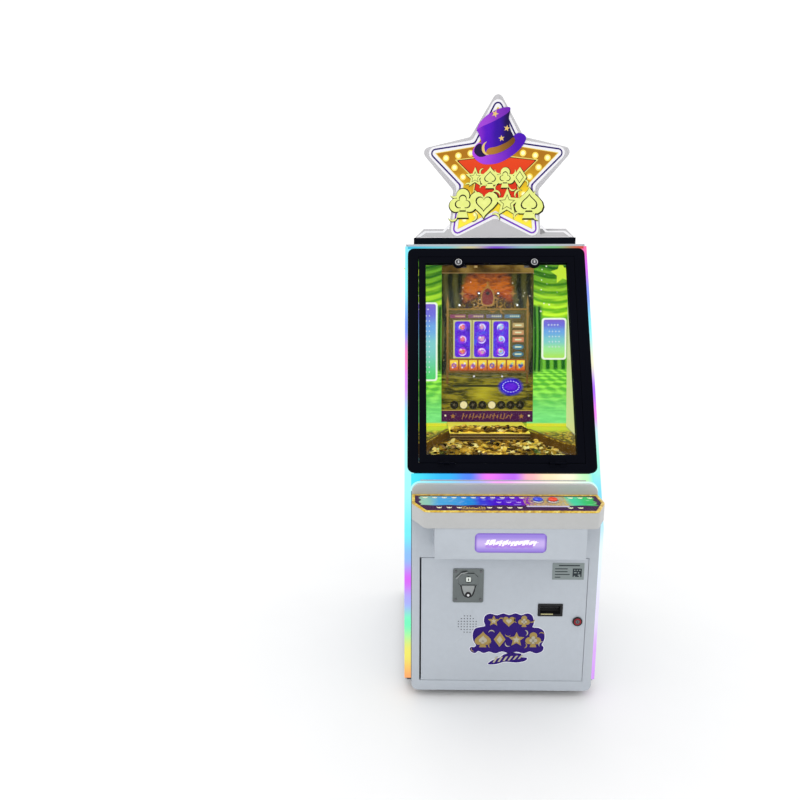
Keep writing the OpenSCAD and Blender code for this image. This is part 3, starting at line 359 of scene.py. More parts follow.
class Paint:
    """A material under construction."""

    def __init__(self, name, color=(0.8, 0.8, 0.8), rough=0.4, metal=0.0, gloss=0.5):
        self.material = bpy.data.materials.new(name)
        self.material.use_nodes = True
        self.tree = self.material.node_tree
        self.shader = next(n for n in self.tree.nodes if n.type == "BSDF_PRINCIPLED")
        self.set("Base Color", color)
        self.set("Roughness", rough)
        self.set("Metallic", metal)
        self.set("Specular IOR Level", gloss)
        self._xyz = None

    def set(self, name, value):
        socket = self.shader.inputs[name]
        if isinstance(value, Val):
            self.tree.links.new(value.socket, socket)
        elif hasattr(value, "__len__") and len(value) == 3 and socket.type == "RGBA":
            socket.default_value = (*value, 1.0)
        else:
            socket.default_value = value
        return self

    def node(self, kind, settings=None, inputs=None):
        node = self.tree.nodes.new(kind)
        for key, value in (settings or {}).items():
            if key == "stops":
                ramp = node.color_ramp
                while len(ramp.elements) < len(value):
                    ramp.elements.new(0.5)
                for element, (place, color) in zip(ramp.elements, value):
                    element.position = place
                for element, (place, color) in zip(ramp.elements, value):
                    element.color = (*color, 1.0)
            else:
                setattr(node, key, value)
        for key, value in (inputs or {}).items():
            socket = node.inputs[key]
            if isinstance(value, Val):
                self.tree.links.new(value.socket, socket)
            elif hasattr(value, "__len__") and len(value) == 3 and socket.type == "RGBA":
                socket.default_value = (*value, 1.0)
            else:
                socket.default_value = value
        return node

    def math(self, operation, a, b=None, c=None):
        inputs = {0: a}
        if b is not None:
            inputs[1] = b
        if c is not None:
            inputs[2] = c
        return Val(self, self.node("ShaderNodeMath", {"operation": operation}, inputs).outputs[0])

    def xyz(self):
        if self._xyz is None:
            coord = self.node("ShaderNodeTexCoord")
            self.place = Val(self, coord.outputs["Object"])
            split = self.node("ShaderNodeSeparateXYZ", None, {0: self.place})
            self._xyz = tuple(Val(self, split.outputs[i]) for i in range(3))
        return self._xyz

    def vector(self, x, y, z=0.0):
        return Val(self, self.node("ShaderNodeCombineXYZ", None, {0: x, 1: y, 2: z}).outputs[0])

    def mix(self, factor, a, b, blend="MIX"):
        node = self.node("ShaderNodeMix", {"data_type": "RGBA", "blend_type": blend},
                         {0: factor, 6: a, 7: b})
        return Val(self, node.outputs[2])

    def ramp(self, value, stops, interpolation="EASE"):
        node = self.node("ShaderNodeValToRGB", {"stops": stops}, {0: value})
        node.color_ramp.interpolation = interpolation
        return Val(self, node.outputs[0])

    def noise(self, scale, detail=2.0, rough=0.5, where=None):
        self.xyz()
        node = self.node("ShaderNodeTexNoise", None, {
            "Vector": where or self.place, "Scale": scale, "Detail": detail, "Roughness": rough})
        return Val(self, node.outputs["Fac"])

    def cells(self, scale, where=None, feature="F1", output="Distance"):
        self.xyz()
        node = self.node("ShaderNodeTexVoronoi", {"feature": feature},
                         {"Vector": where or self.place, "Scale": scale})
        return Val(self, node.outputs[output])

    def sin(self, v): return self.math("SINE", v)
    def abs(self, v): return self.math("ABSOLUTE", v)
    def most(self, a, b): return self.math("MAXIMUM", a, b)
    def root(self, v): return self.math("SQRT", v)

    def step(self, v, lo, hi):
        node = self.node("ShaderNodeMapRange", {"interpolation_type": "SMOOTHSTEP"},
                         {0: v, 1: lo, 2: hi, 3: 0.0, 4: 1.0})
        return Val(self, node.outputs[0])

    def within(self, v, lo, hi, soft=0.0008):
        return self.step(v, lo - soft, lo + soft) * (1.0 - self.step(v, hi - soft, hi + soft))

    def bump(self, height, strength=0.2, distance=0.001):
        node = self.node("ShaderNodeBump", None, {"Strength": strength, "Distance": distance, "Height": height})
        self.tree.links.new(node.outputs[0], self.shader.inputs["Normal"])
        return self

    def glow(self, color, strength):
        self.set("Emission Color", color)
        self.shader.inputs["Emission Strength"].default_value = strength
        return self

    def backlit(self, art, dim, strength):
        """The same art as dimmed paint and as the light that shines through it."""
        self.set("Base Color", self.mix(dim, art, (0, 0, 0)))
        return self.glow(art, strength)


def tone(color, k):
    return tuple(min(1.0, c * k) for c in color)


def powder_coat(name, color, rough=0.38, grain=0.012, gloss=0.5):
    """Baked powder paint: a fine orange-peel skin, faint handling marks and uneven gloss."""
    p = Paint(name, color, rough, 0.0, gloss)
    cloud = p.noise(3.0, 3.0)
    marks = p.noise(38.0, 4.0, 0.65)
    p.set("Base Color", p.mix(p.step(marks * 0.6 + cloud * 0.4, 0.35, 0.7), tone(color, 0.955), color))
    p.set("Roughness", rough - 0.05 + cloud * 0.1)
    return p.bump(p.noise(1400.0, 1.0), grain, 0.0006).material


def printed(name, color, rough=0.3, glow=0.0, gloss=0.15):
    p = Paint(name, color, rough, 0.0, gloss)
    grain = p.noise(220.0, 2.0)
    under = tone(color, 1.0 - min(glow, 0.75))
    p.set("Base Color", p.mix(grain, tone(under, 0.9), under))
    p.set("Roughness", rough - 0.05 + grain * 0.1)
    if glow:
        p.glow(color, glow)
    return p.material


def plated(name, color, rough=0.25, brush=0.3):
    """Plated or bare metal with faint drawn lines."""
    p = Paint(name, color, rough, 1.0)
    x, y, z = p.xyz()
    lines = p.noise(60.0, 3.0, 0.6, p.vector(x * 1.0, y * 12.0, z * 12.0))
    p.set("Roughness", rough - 0.06 + lines * 0.16)
    p.set("Base Color", p.mix(p.noise(25.0), tone(color, 0.85), color))
    return p.bump(lines, brush * 0.1, 0.0004).material


def moulded(name, color, rough=0.45, coat=0.0, gloss=0.2):
    p = Paint(name, color, rough, 0.0, gloss)
    grain = p.noise(900.0, 2.0)
    cloud = p.noise(12.0)
    p.set("Base Color", p.mix(cloud, tone(color, 0.9), tone(color, 1.06)))
    p.set("Roughness", rough - 0.05 + cloud * 0.1)
    p.shader.inputs["Coat Weight"].default_value = coat
    return p.bump(grain, 0.03, 0.0005).material


def rainbow(name, axis, stops, strength):
    """A milky diffuser lit by a chain of coloured lamps: hue along an axis."""
    p = Paint(name, (0.8, 0.85, 0.9), 0.35, 0.0, 0.1)
    t = p.xyz()[axis]
    lo, hi = stops[0][0], stops[-1][0]
    scaled = [((place - lo) / (hi - lo), color) for place, color in stops]
    hue = p.ramp((t - lo) / (hi - lo), scaled)
    lit = p.mix(0.3, hue, p.mix(1.0, hue, hue, "MULTIPLY"))
    p.set("Base Color", p.mix(0.92, hue, (0, 0, 0)))
    return p.glow(lit, strength).material


def wall_art():
    """Green curtained hall: swags above, draped columns beside the board, lozenge floor below."""
    p = Paint("hall_print", (0.2, 0.7, 0.1), 0.35, 0.0, 0.08)
    x, y, z = p.xyz()
    origin = WALL.translation
    s = y * math.sin(WALL_TILT) + z * math.cos(WALL_TILT) - (
        origin.y * math.sin(WALL_TILT) + origin.z * math.cos(WALL_TILT))
    side = p.abs(x)
    # swags: folds that hang in arcs about a point over each side of the wall
    dx = side - 0.285
    drop = s - dx * dx * 2.6
    folds = p.sin(drop * 175.0 + p.noise(9.0, 2.0) * 5.0)
    fine = p.sin(drop * 420.0 + p.noise(14.0, 2.0) * 6.0)
    fold = p.step(folds * 0.72 + fine * 0.28, -0.9, 0.9)
    hang = p.step(s, 0.66, 0.45)
    dark = p.mix(hang, (0.02, 0.13, 0.015), (0.14, 0.52, 0.015))
    light = p.mix(hang, (0.16, 0.45, 0.03), (0.62, 1.0, 0.04))
    curtain = p.mix(fold, dark, light)
    # floor: lozenges that widen towards the player
    depth = p.most(0.235 - s, 0.004)
    fan = x / (depth + 0.16)
    row = p.math("LOGARITHM", depth + 0.03, 1.22)
    check = p.sin((fan * 4.6 + row * 1.0) * math.pi) * p.sin((fan * 4.6 - row * 1.0) * math.pi)
    smear = p.noise(16.0, 3.0, 0.6, p.vector(x * 1.0, y * 5.0, z * 5.0)) - 0.5
    tile = p.step(check * p.step(s, 0.02, 0.20) + smear * 2.4, -0.5, 0.6)
    mint = p.step(s, 0.17, -0.01)
    floor = p.mix(tile, p.mix(mint, (0.10, 0.50, 0.04), (0.17, 0.74, 0.20)),
                  p.mix(mint, (0.34, 0.88, 0.08), (0.26, 0.88, 0.28)))
    # draped columns beside the board
    pleat = p.sin(side * 330.0 + p.sin(s * 14.0) * 0.8)
    column = p.mix(p.step(pleat, -0.8, 0.9), (0.005, 0.06, 0.008), (0.09, 0.34, 0.03))
    in_column = p.within(side, 0.195, 0.236, 0.006) * p.within(s, 0.215, 0.5, 0.012)
    far_hall = p.mix(p.step(p.sin(side * 190.0 + p.sin(s * 20.0)), -0.7, 0.9),
                     (0.01, 0.12, 0.01), (0.16, 0.5, 0.04))
    upper = p.mix(p.step(s, 0.444, 0.450), far_hall, curtain)
    art = p.mix(p.step(s, 0.222, 0.232), floor, upper)
    art = p.mix(in_column, art, column)
    band = p.within(s, -0.04, -0.006, 0.004)
    art = p.mix(band, art, p.mix(p.noise(30.0, 3.0), (0.85, 0.62, 0.03), (0.6, 0.85, 0.05)))
    sparkle = p.cells(34.0) < 0.11
    sparkle = sparkle * p.step(s, 0.26, 0.4)
    art = p.mix(sparkle, art, (1.0, 1.0, 0.85))
    return p.backlit(art, 0.75, 0.82).material


def board_art():
    """Amber hall with a violet foot band, dim floor, gilded pillars and a sunset arch."""
    p = Paint("board_print", (0.4, 0.28, 0.08), 0.32, 0.0, 0.08)
    x, y, z = p.xyz()
    origin = WALL.translation
    s = y * math.sin(WALL_TILT) + z * math.cos(WALL_TILT) - (
        origin.y * math.sin(WALL_TILT) + origin.z * math.cos(WALL_TILT))
    grain = p.noise(42.0, 4.0, 0.6)
    streak = p.noise(5.0, 4.0, 0.65, p.vector(x * 3.2, y * 14.0, z * 14.0))
    fine = p.noise(9.0, 3.0, 0.6, p.vector(x * 3.0, y * 22.0, z * 22.0))
    floor = p.mix(p.step(streak + fine * 0.5, 0.62, 0.92), (0.030, 0.030, 0.006), (0.26, 0.22, 0.015))
    warm = (1.0 - p.step(p.abs(x + 0.015), 0.0, 0.09)) * p.within(s, 0.09, 0.16, 0.02)
    floor = p.mix(warm * 0.6, floor, (0.55, 0.48, 0.02))
    drape = p.sin(x * 150.0 + p.sin(s * 13.0) * 2.2 + grain * 3.0)
    hall = p.mix(p.step(drape, -0.9, 0.9), (0.006, 0.008, 0.003), (0.070, 0.066, 0.014))
    hall = p.mix(p.step(p.cells(75.0), 0.20, 0.08) * p.step(grain, 0.45, 0.6), hall, (0.5, 0.42, 0.12))
    arch_w = 0.108 - (s - 0.53) * (s - 0.53) * 1.5
    cloud = p.noise(24.0, 4.0, 0.65, p.vector(x * 1.0, s * 2.4, 0.0))
    in_arch = (1.0 - p.step(p.abs(x) - arch_w + (cloud - 0.5) * 0.05, -0.016, 0.012)) * p.step(s, 0.475, 0.50)
    sky = p.ramp((s - 0.5) / 0.15 + (cloud - 0.5) * 1.5, [
        (0.0, (0.05, 0.010, 0.004)), (0.25, (0.32, 0.045, 0.006)), (0.5, (0.56, 0.14, 0.012)),
        (0.75, (0.26, 0.065, 0.015)), (1.0, (0.07, 0.022, 0.014))])
    hall = p.mix(in_arch, hall, sky)
    mound = 1.0 - p.step(s - 0.528 + p.abs(x) * 0.60 - cloud * 0.08, -0.014, 0.014)
    gold_dust = p.step(p.cells(150.0), 0.42, 0.2)
    hall = p.mix(mound * p.step(s, 0.46, 0.47), hall, p.mix(gold_dust, (0.035, 0.018, 0.002),
                                                            (0.50, 0.28, 0.03)))
    art = p.mix(p.step(s, 0.19, 0.215), floor, hall)
    violet = p.mix(grain, (0.035, 0.006, 0.032), (0.085, 0.016, 0.080))
    art = p.mix(1.0 - p.step(s, 0.0472, 0.0488), art, violet)
    art = p.mix(p.within(s, 0.0485, 0.0515, 0.0006), art, (0.5, 0.35, 0.06))
    sparkle = (p.cells(30.0) < 0.06) * p.step(s, 0.44, 0.5)
    art = p.mix(sparkle, art, (1.0, 0.95, 0.7))
    return p.backlit(art, 0.75, 0.9).material


def deck_art():
    """Back-printed deck: a rainbow field inside a dotted indigo border."""
    p = Paint("deck_print", (0.2, 0.2, 0.8), 0.5, 0.0, 0.03)
    x, y, z = p.xyz()
    depth = (y - DECK_LO.y) / (DECK_HI.y - DECK_LO.y)
    wave = p.noise(9.0, 3.0)
    hue = p.ramp((x + (wave - 0.5) * 0.05 + 0.315) / 0.63, [
        (0.0, (0.40, 0.62, 0.36)), (0.07, (0.30, 0.62, 0.50)), (0.14, (0.08, 0.42, 0.80)),
        (0.30, (0.02, 0.28, 0.78)),
        (0.37, (0.045, 0.05, 0.75)), (0.44, (0.07, 0.004, 0.66)), (0.56, (0.12, 0.005, 0.60)),
        (0.61, (0.26, 0.02, 0.48)),
        (0.66, (0.45, 0.30, 0.30)), (0.80, (0.50, 0.46, 0.30)), (0.86, (0.08, 0.70, 0.40)),
        (0.94, (0.05, 0.60, 0.16)),
        (1.0, (0.10, 0.30, 0.08))])
    glint = p.step(p.noise(60.0, 3.0, 0.6, p.vector(x * 0.6, y * 2.0, z)), 0.58, 0.72)
    hue = p.mix(glint * 0.45, hue, (0.75, 0.85, 0.95))
    dots = p.step(p.sin(x * 700.0) * p.sin(y * 700.0), 0.25, 0.5)
    front = 1.0 - p.step(depth + p.sin(x * 70.0) * 0.015, 0.33, 0.37)
    rear = p.step(depth, 0.93, 0.95)
    ends = p.step(p.abs(x) + p.sin(y * 160.0) * 0.004, 0.296, 0.300)
    edge = p.most(p.most(front, rear), ends)
    art = p.mix(edge, hue, p.mix(dots, (0.020, 0.003, 0.05), (0.22, 0.10, 0.20)))
    return p.backlit(art, 0.6, 0.5).material


def gilt(name, glow=0.0):
    p = Paint(name, (0.8, 0.5, 0.06), 0.3)
    knot = p.noise(90.0, 2.0)
    p.set("Base Color", p.ramp(knot, [(0.3, (0.42, 0.23, 0.015)), (0.5, (0.68, 0.44, 0.03)),
                                      (0.75, (0.9, 0.74, 0.2))]))
    if glow:
        p.glow((0.9, 0.6, 0.1), glow)
    return p.bump(knot, 0.1, 0.0006).material


def lamp(name, low, high, strength, scale=60.0):
    """A glowing plastic, dark when unlit."""
    p = Paint(name, tone(low, 0.2), 0.35, 0.0, 0.08)
    p.set("Base Color", p.mix(p.noise(scale), tone(low, 0.15), tone(high, 0.25)))
    return p.glow(p.mix(p.noise(scale), low, high), strength).material


def brass_with_painted_light(name):
    """Tokens: warm yellow metal, each one a different tone from near black to pale yellow: the near-black ones are
    painted shade in the gaps of the heap, the pale ones painted highlights, and the faint glow is painted light.
    """
    p = Paint(name, (0.8, 0.58, 0.2), 0.34, 0.35, 0.3)
    cell = p.cells(46.0, output="Color")
    split = p.node("ShaderNodeSeparateColor", None, {0: cell})
    pick = Val(p, split.outputs[0])
    # each coin's tone runs from near black, painted shade in the gaps, to pale yellow, painted highlight
    art = p.ramp(pick, [(0.0, (0.015, 0.008, 0.001)), (0.32, (0.13, 0.065, 0.006)), (0.6, (0.48, 0.28, 0.02)),
                        (0.84, (0.85, 0.60, 0.07)), (1.0, (1.0, 0.92, 0.42))])
    p.set("Base Color", art)
    p.set("Roughness", 0.24 + pick * 0.2)
    # faint glow: painted light, the coins are no lamp
    p.glow(art, 0.12)
    return p.bump(p.noise(900.0, 2.0), 0.08, 0.0004).material


def clear_sheet(name, tint, alpha, rough=0.04, gloss=0.06):
    p = Paint(name, tint, rough, 0.0, gloss)
    p.set("Alpha", alpha + p.noise(5.0) * 0.01)
    return p.material


def shaded(name, low, high, axis, span, rough=0.35, glow=0.0, gloss=0.12):
    """A print that runs from one colour to another along an axis."""
    p = Paint(name, low, rough, 0.0, gloss)
    t = (p.xyz()[axis] - span[0]) / (span[1] - span[0])
    art = p.mix(p.step(t + (p.noise(20.0) - 0.5) * 0.2, 0.0, 1.0), low, high)
    p.set("Base Color", p.mix(min(glow, 0.75), art, (0, 0, 0)))
    if glow:
        p.glow(art, glow)
    return p.material


FINISH = {}


def finishes():
    """All finishes of the machine, made once."""
    f = FINISH
    cfg = bpy.context.scene.pusher_looks
    f["white"] = powder_coat("white_powder_coat", tuple(cfg.case_color))
    f["warm_white"] = powder_coat("warm_white_coat", tuple(c * k for c,
                                                           k in zip(cfg.case_color, (1.02, 0.95, 0.86))))
    f["white_board"] = powder_coat("white_board", tone(tuple(cfg.case_color), 1.02), 0.42)
    f["black"] = powder_coat("black_satin", (0.0015, 0.002, 0.005), 0.36, 0.02, 0.03)
    f["navy"] = powder_coat("navy_satin", (0.002, 0.003, 0.007), 0.36, 0.02, 0.03)
    f["enamel"] = powder_coat("dark_enamel", (0.06, 0.06, 0.065), 0.45, 0.03)
    f["zinc"] = plated("zinc_plate", (0.6, 0.61, 0.63), 0.36)
    f["casting"] = plated("zinc_casting", (0.17, 0.19, 0.19), 0.36, 0.8)
    f["lock_steel"] = plated("lock_steel", (0.16, 0.16, 0.17), 0.3, 0.3)
    f["chrome"] = plated("chrome", (0.8, 0.81, 0.83), 0.12, 0.1)
    f["aluminium"] = plated("brushed_aluminium", (0.7, 0.71, 0.73), 0.32, 0.5)
    f["glass"] = clear_sheet("door_glass", (0.10, 0.13, 0.12), 0.012, 0.04, 0.03)
    f["acrylic"] = clear_sheet("clear_acrylic", (0.30, 0.31, 0.28), 0.02, 0.05, 0.04)
    f["sign_acrylic"] = clear_sheet("sign_acrylic", (0.56, 0.55, 0.57), 0.75, 0.12, 0.2)
    f["black_plastic"] = moulded("black_plastic", (0.015, 0.015, 0.017), 0.42)
    f["grey_plastic"] = moulded("grey_plastic", (0.16, 0.16, 0.17), 0.5)
    f["bezel"] = plated("button_bezel", (0.75, 0.76, 0.8), 0.18, 0.1)
    f["blue"] = moulded("blue_button", (0.02, 0.05, 0.75), 0.2, 0.6)
    f["red"] = moulded("red_button", (0.85, 0.05, 0.01), 0.2, 0.6)
    f["coins"] = brass_with_painted_light("brass_coins")
    f["gilt"] = gilt("gold_trim")
    f["gold_print"] = printed("gold_print", (0.85, 0.58, 0.12), 0.3, 0.35)
    f["pale_print"] = printed("pale_gold_print", (0.95, 0.88, 0.6), 0.3, 0.6)
    f["board"] = board_art()
    f["hall"] = wall_art()
    f["deck"] = deck_art()
    f["circuit"] = moulded("circuit_board", (0.01, 0.16, 0.05), 0.4)
    f["brass"] = plated("brass", (0.8, 0.6, 0.25), 0.25, 0.3)


# Sizes and colours a user may change
class PusherLooks(PropertyGroup):
    case_color: FloatVectorProperty(name="Case colour", description="Powder coat of the casings",
                                    default=(0.46, 0.50, 0.55), size=3, subtype="COLOR", min=0, max=1)
    coin_radius: FloatProperty(name="Coin radius", description="Radius of one token", default=0.0122,
                               unit="LENGTH", min=0.008, max=0.02)
    bed_coins: IntProperty(name="Coins on the bed", description="Number of tokens on the lower bed",
                           default=620, min=50, max=1500)
    pusher_coins: IntProperty(name="Coins on the pusher", description="Number of tokens on the pusher",
                              default=300, min=20, max=800)
    lamp_glow: FloatProperty(name="Lamp glow", description="Strength of the coloured edge lights",
                             default=1.0, min=0, max=10)
    edge_bevel: FloatProperty(name="Edge softening", description="Bevel on sheet metal edges",
                              default=0.0015, unit="LENGTH", min=0.0002, max=0.005)


def looks():
    return bpy.context.scene.pusher_looks


class Piece(Operator):
    bl_options = {"REGISTER", "UNDO"}


class PUSHER_OT_stage(Piece):
    """Floor, daylight studio and camera"""
    bl_idname = "pusher.stage"
    bl_label = "Stage"

    def execute(self, context):
        scene = context.scene
        scene.view_settings.view_transform = "Standard"
        world = bpy.data.worlds.new("studio")
        scene.world = world
        world.use_nodes = True
        world.node_tree.nodes["Background"].inputs[0].default_value = (1, 1, 1, 1)
        world.node_tree.nodes["Background"].inputs[1].default_value = 1.12
        deselect()
        bpy.ops.mesh.primitive_plane_add(size=40, location=(0, 0, 0))
        floor = context.object
        floor.name = "studio_floor"
        pale = Paint("studio_floor", (0.93, 0.93, 0.93), 0.6)
        pale.set("Base Color", pale.mix(pale.noise(3.0), (0.92, 0.92, 0.92), (0.95, 0.95, 0.95)))
        floor.data.materials.append(pale.material)
        for name, place, size, power, aim in (
                ("key", (-1.8, -3.4, 3.4), 2.6, 8, (0, 0, 1.0)),
                ("cabin", (0.0, 0.02, 1.46), 0.40, 1.3, (0, 0.08, 0.8))):
            lamp = bpy.data.lights.new(name, "AREA")
            lamp.size = size
            lamp.energy = power
            obj = bpy.data.objects.new(name, lamp)
            scene.collection.objects.link(obj)
            obj.location = place
            obj.rotation_euler = (Vector(aim) - Vector(place)).to_track_quat("-Z", "Y").to_euler()
        cam = bpy.data.cameras.new("camera")
        cam.sensor_width = 36.0
        cam.lens = 28.8
        eye = bpy.data.objects.new("camera", cam)
        scene.collection.objects.link(eye)
        pitch, yaw, roll = (math.radians(a) for a in (11.24, -0.92, -0.11))
        ahead = Vector((math.sin(yaw) * math.cos(pitch), math.cos(yaw) * math.cos(pitch), -math.sin(pitch)))
        right = Vector((math.cos(yaw), -math.sin(yaw), 0))
        up = right.cross(ahead)
        turned = right * math.cos(roll) + up * math.sin(roll)
        up = up * math.cos(roll) - right * math.sin(roll)
        spin = Matrix((turned, up, -ahead)).transposed().to_4x4()
        eye.matrix_world = Matrix.Translation((-0.3323, -2.4355, 1.5264)) @ spin
        scene.camera = eye
        return {"FINISHED"}


class PUSHER_OT_cabinet(Piece):
    """Side panels, roof, rear panel, base and feet"""
    bl_idname = "pusher.cabinet"
    bl_label = "Cabinet"

    def execute(self, context):
        f = FINISH
        w = looks().edge_bevel
        for node in ("side_panel_left", "side_panel_right", "rear_panel"):
            casing(node, f["white_board"], w)
        casing("roof_panel", f["white_board"], w)
        casing("base_frame", f["enamel"], w)
        casing("levelling_feet", f["zinc"], 0.0006)
        casing("power_inlet", f["black_plastic"], 0.0006)
        lo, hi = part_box("rear_panel")
        back = upright(hi.y) @ Matrix.Rotation(math.pi, 4, "Y")
        screws = []
        for x in (lo.x + 0.02, hi.x - 0.02):
            for i in range(7):
                z = lo.z + 0.03 + i * (hi.z - lo.z - 0.06) / 6
                screws.append(disc(x, z, 0.0045, 0.0, 0.0022, 18, 0.0008))
        heads = settle(join(screws, "rear_screws"), back)
        dress(heads, "rear_screws", f["zinc"], "cabinet", "zinc")
        return {"FINISHED"}


class PUSHER_OT_front(Piece):
    """White service front, shelf, riser and the lit box under the shelf"""
    bl_idname = "pusher.front"
    bl_label = "Front"

    def execute(self, context):
        f = FINISH
        w = looks().edge_bevel
        casing("front_cabinet", f["white"], w)
        casing("shelf_housing", f["warm_white"], 0.005, 3)
        casing("sub_box", f["white"], w)
        glass = Paint("lit_window", (0.4, 0.25, 0.7), 0.25, 0.0, 0.08)
        x, y, z = glass.xyz()
        mid_x, mid_z = (LENS_LO.x + LENS_HI.x) / 2, (LENS_LO.z + LENS_HI.z) / 2
        edge = glass.most(glass.abs(x - mid_x) - 0.102, (glass.abs(z - mid_z) - 0.0215) * 1.2)
        field = glass.mix(glass.step(glass.abs(z - mid_z + 0.002), 0.004, 0.026), (0.62, 0.48, 0.92),
                          (0.36, 0.26, 0.78))
        field = glass.mix(glass.step(edge, 0.006, 0.016), field, (0.24, 0.13, 0.60))
        glass.backlit(field, 0.6, 0.55)
        casing("sign_window_lens", glass.material, 0.0008)
        front = upright(LENS_LO.y)
        lit = lamp("lit_script", (0.95, 0.85, 1.0), (1, 1, 1), 0.9)
        halo = lamp("lit_halo", (0.40, 0.20, 0.85), (0.58, 0.36, 0.95), 0.7)
        rnd = random.Random(5)
        marks, glows = [], []
        x = mid_x - 0.084
        while x < mid_x + 0.078:
            w = rnd.uniform(0.007, 0.015)
            low, high = rnd.uniform(-0.0115, -0.006), rnd.uniform(0.007, 0.0135)
            marks.append(outline([(x, mid_z + low), (x + w * 0.7, mid_z + low + 0.002),
                                  (x + w * 1.35, mid_z + high),
                                  (x + w * 0.5, mid_z + high - 0.002)], 0.0, 0.0012))
            x += w * 0.95
        marks.append(outline([(mid_x - 0.088, mid_z - 0.003), (mid_x + 0.080, mid_z - 0.001),
                              (mid_x + 0.092, mid_z + 0.003),
                              (mid_x - 0.080, mid_z + 0.001)], 0.0, 0.0011))
        low_edge = [(mid_x - 0.084 + i * 0.0112, mid_z - 0.015 - 0.0035 * (i % 2)) for i in range(15)]
        glows.append(outline(low_edge + [(mid_x + 0.084, mid_z + 0.002), (mid_x - 0.080, mid_z)], 0.0, 0.0005))
        dress(settle(join(glows, "glow"), front), "window_glow", halo, "cabinet", "lit_window")
        dress(settle(join(marks, "marks"), front), "window_marks", lit, "cabinet", "lit_window")
        return {"FINISHED"}


class PUSHER_OT_deck(Piece):
    """Printed deck, gold trim and the two play buttons"""
    bl_idname = "pusher.deck"
    bl_label = "Deck"

    def execute(self, context):
        f = FINISH
        casing("deck_panel", f["deck"], 0.0004)
        casing("deck_trim", f["gilt"], 0.0012)
        casing("button_bezels", f["bezel"], 0.0012)
        casing("blue_button", f["blue"], 0.002, 3)
        casing("red_button", f["red"], 0.002, 3)
        top = DECK_HI.z
        deep = DECK_HI.y - DECK_LO.y
        marks, lilac = [], []
        for share, start, stop, bag in ((0.86, -0.28, 0.29, marks), (0.20, -0.235, 0.26, marks),
                                        (0.55, -0.03, 0.055, lilac)):
            y = DECK_LO.y + deep * share
            for i in range(int((stop - start) / 0.0335) + 1):
                x = start + i * 0.0335
                if share > 0.5 and 0.062 < x < 0.200 or share < 0.5 and (-0.160 < x < -0.085 or 0.062 < x < 0.20):
                    continue
                bag.append(outline([(x - 0.009, y + 0.006), (x - 0.007, y - 0.004), (x, y - 0.0075),
                                    (x + 0.007, y - 0.004),
                                    (x + 0.009, y + 0.006), (x + 0.003, y + 0.0005), (x, y + 0.0055),
                                    (x - 0.003, y + 0.0005)],
                                   top, top + 0.0004))
        dress(join(marks, "deck_marks"), "deck_marks", f["pale_print"], "cabinet", "gilt")
        dress(join(lilac, "deck_lilac"), "deck_lilac_marks", printed("lilac_mark", (0.5, 0.3, 0.85), 0.3, 0.4),
              "cabinet",
              "deck_print")
        plaque = []
        for i in range(9):
            plaque.append(crescent(-0.156 + i * 0.0085, DECK_LO.y + deep * 0.19 + 0.003 * math.sin(i * 2.2),
                                   0.0058, top,
                                   top + 0.0007, 40.0 * i, 0.5))
        plaque.append(block(-0.162, -0.083, DECK_LO.y + deep * 0.10, DECK_LO.y + deep * 0.12, top,
                            top + 0.0006))
        dress(join(plaque, "deck_plaque"), "deck_plaque", f["gold_print"], "cabinet", "gilt")
        # gold scrollwork plate round the buttons
        blue_lo, blue_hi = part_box("blue_button")
        red_lo, red_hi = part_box("red_button")
        bx, by = (blue_lo.x + blue_hi.x) / 2, (blue_lo.y + blue_hi.y) / 2
        rx = (red_lo.x + red_hi.x) / 2
        curls = []
        for x in (bx, rx):
            for a in range(0, 360, 30):
                cx = x + 0.0285 * math.cos(math.radians(a))
                cy = by + 0.0285 * math.sin(math.radians(a))
                curls.append(ring(cx, cy, 0.0035, 0.0055, top, top + 0.001, 14))
        for i in range(12):
            x = bx - 0.040 + i * (rx - bx + 0.080) / 11
            curls.append(ring(x, by - 0.036, 0.003, 0.005, top, top + 0.001, 14))
            curls.append(crescent(x, by + 0.037, 0.0055, top, top + 0.0009, 60.0 * i, 0.5))
        for x in (bx - 0.042, rx + 0.042):
            for k in range(5):
                curls.append(crescent(x, by - 0.030 + k * 0.015, 0.006, top, top + 0.0009, 70.0 * k, 0.5))
        dress(join(curls, "button_scrolls"), "button_scrolls", f["gilt"], "cabinet", "gilt")
        plate = outline(rounded_corners(corners(bx - 0.046, rx + 0.046, by - 0.042, by - 0.053), 0.004), top,
                        top + 0.0008)
        dress(plate, "button_bar", printed("lilac_print", (0.62, 0.58, 0.78), 0.3, 0.2), "cabinet",
              "deck_print")
        return {"FINISHED"}


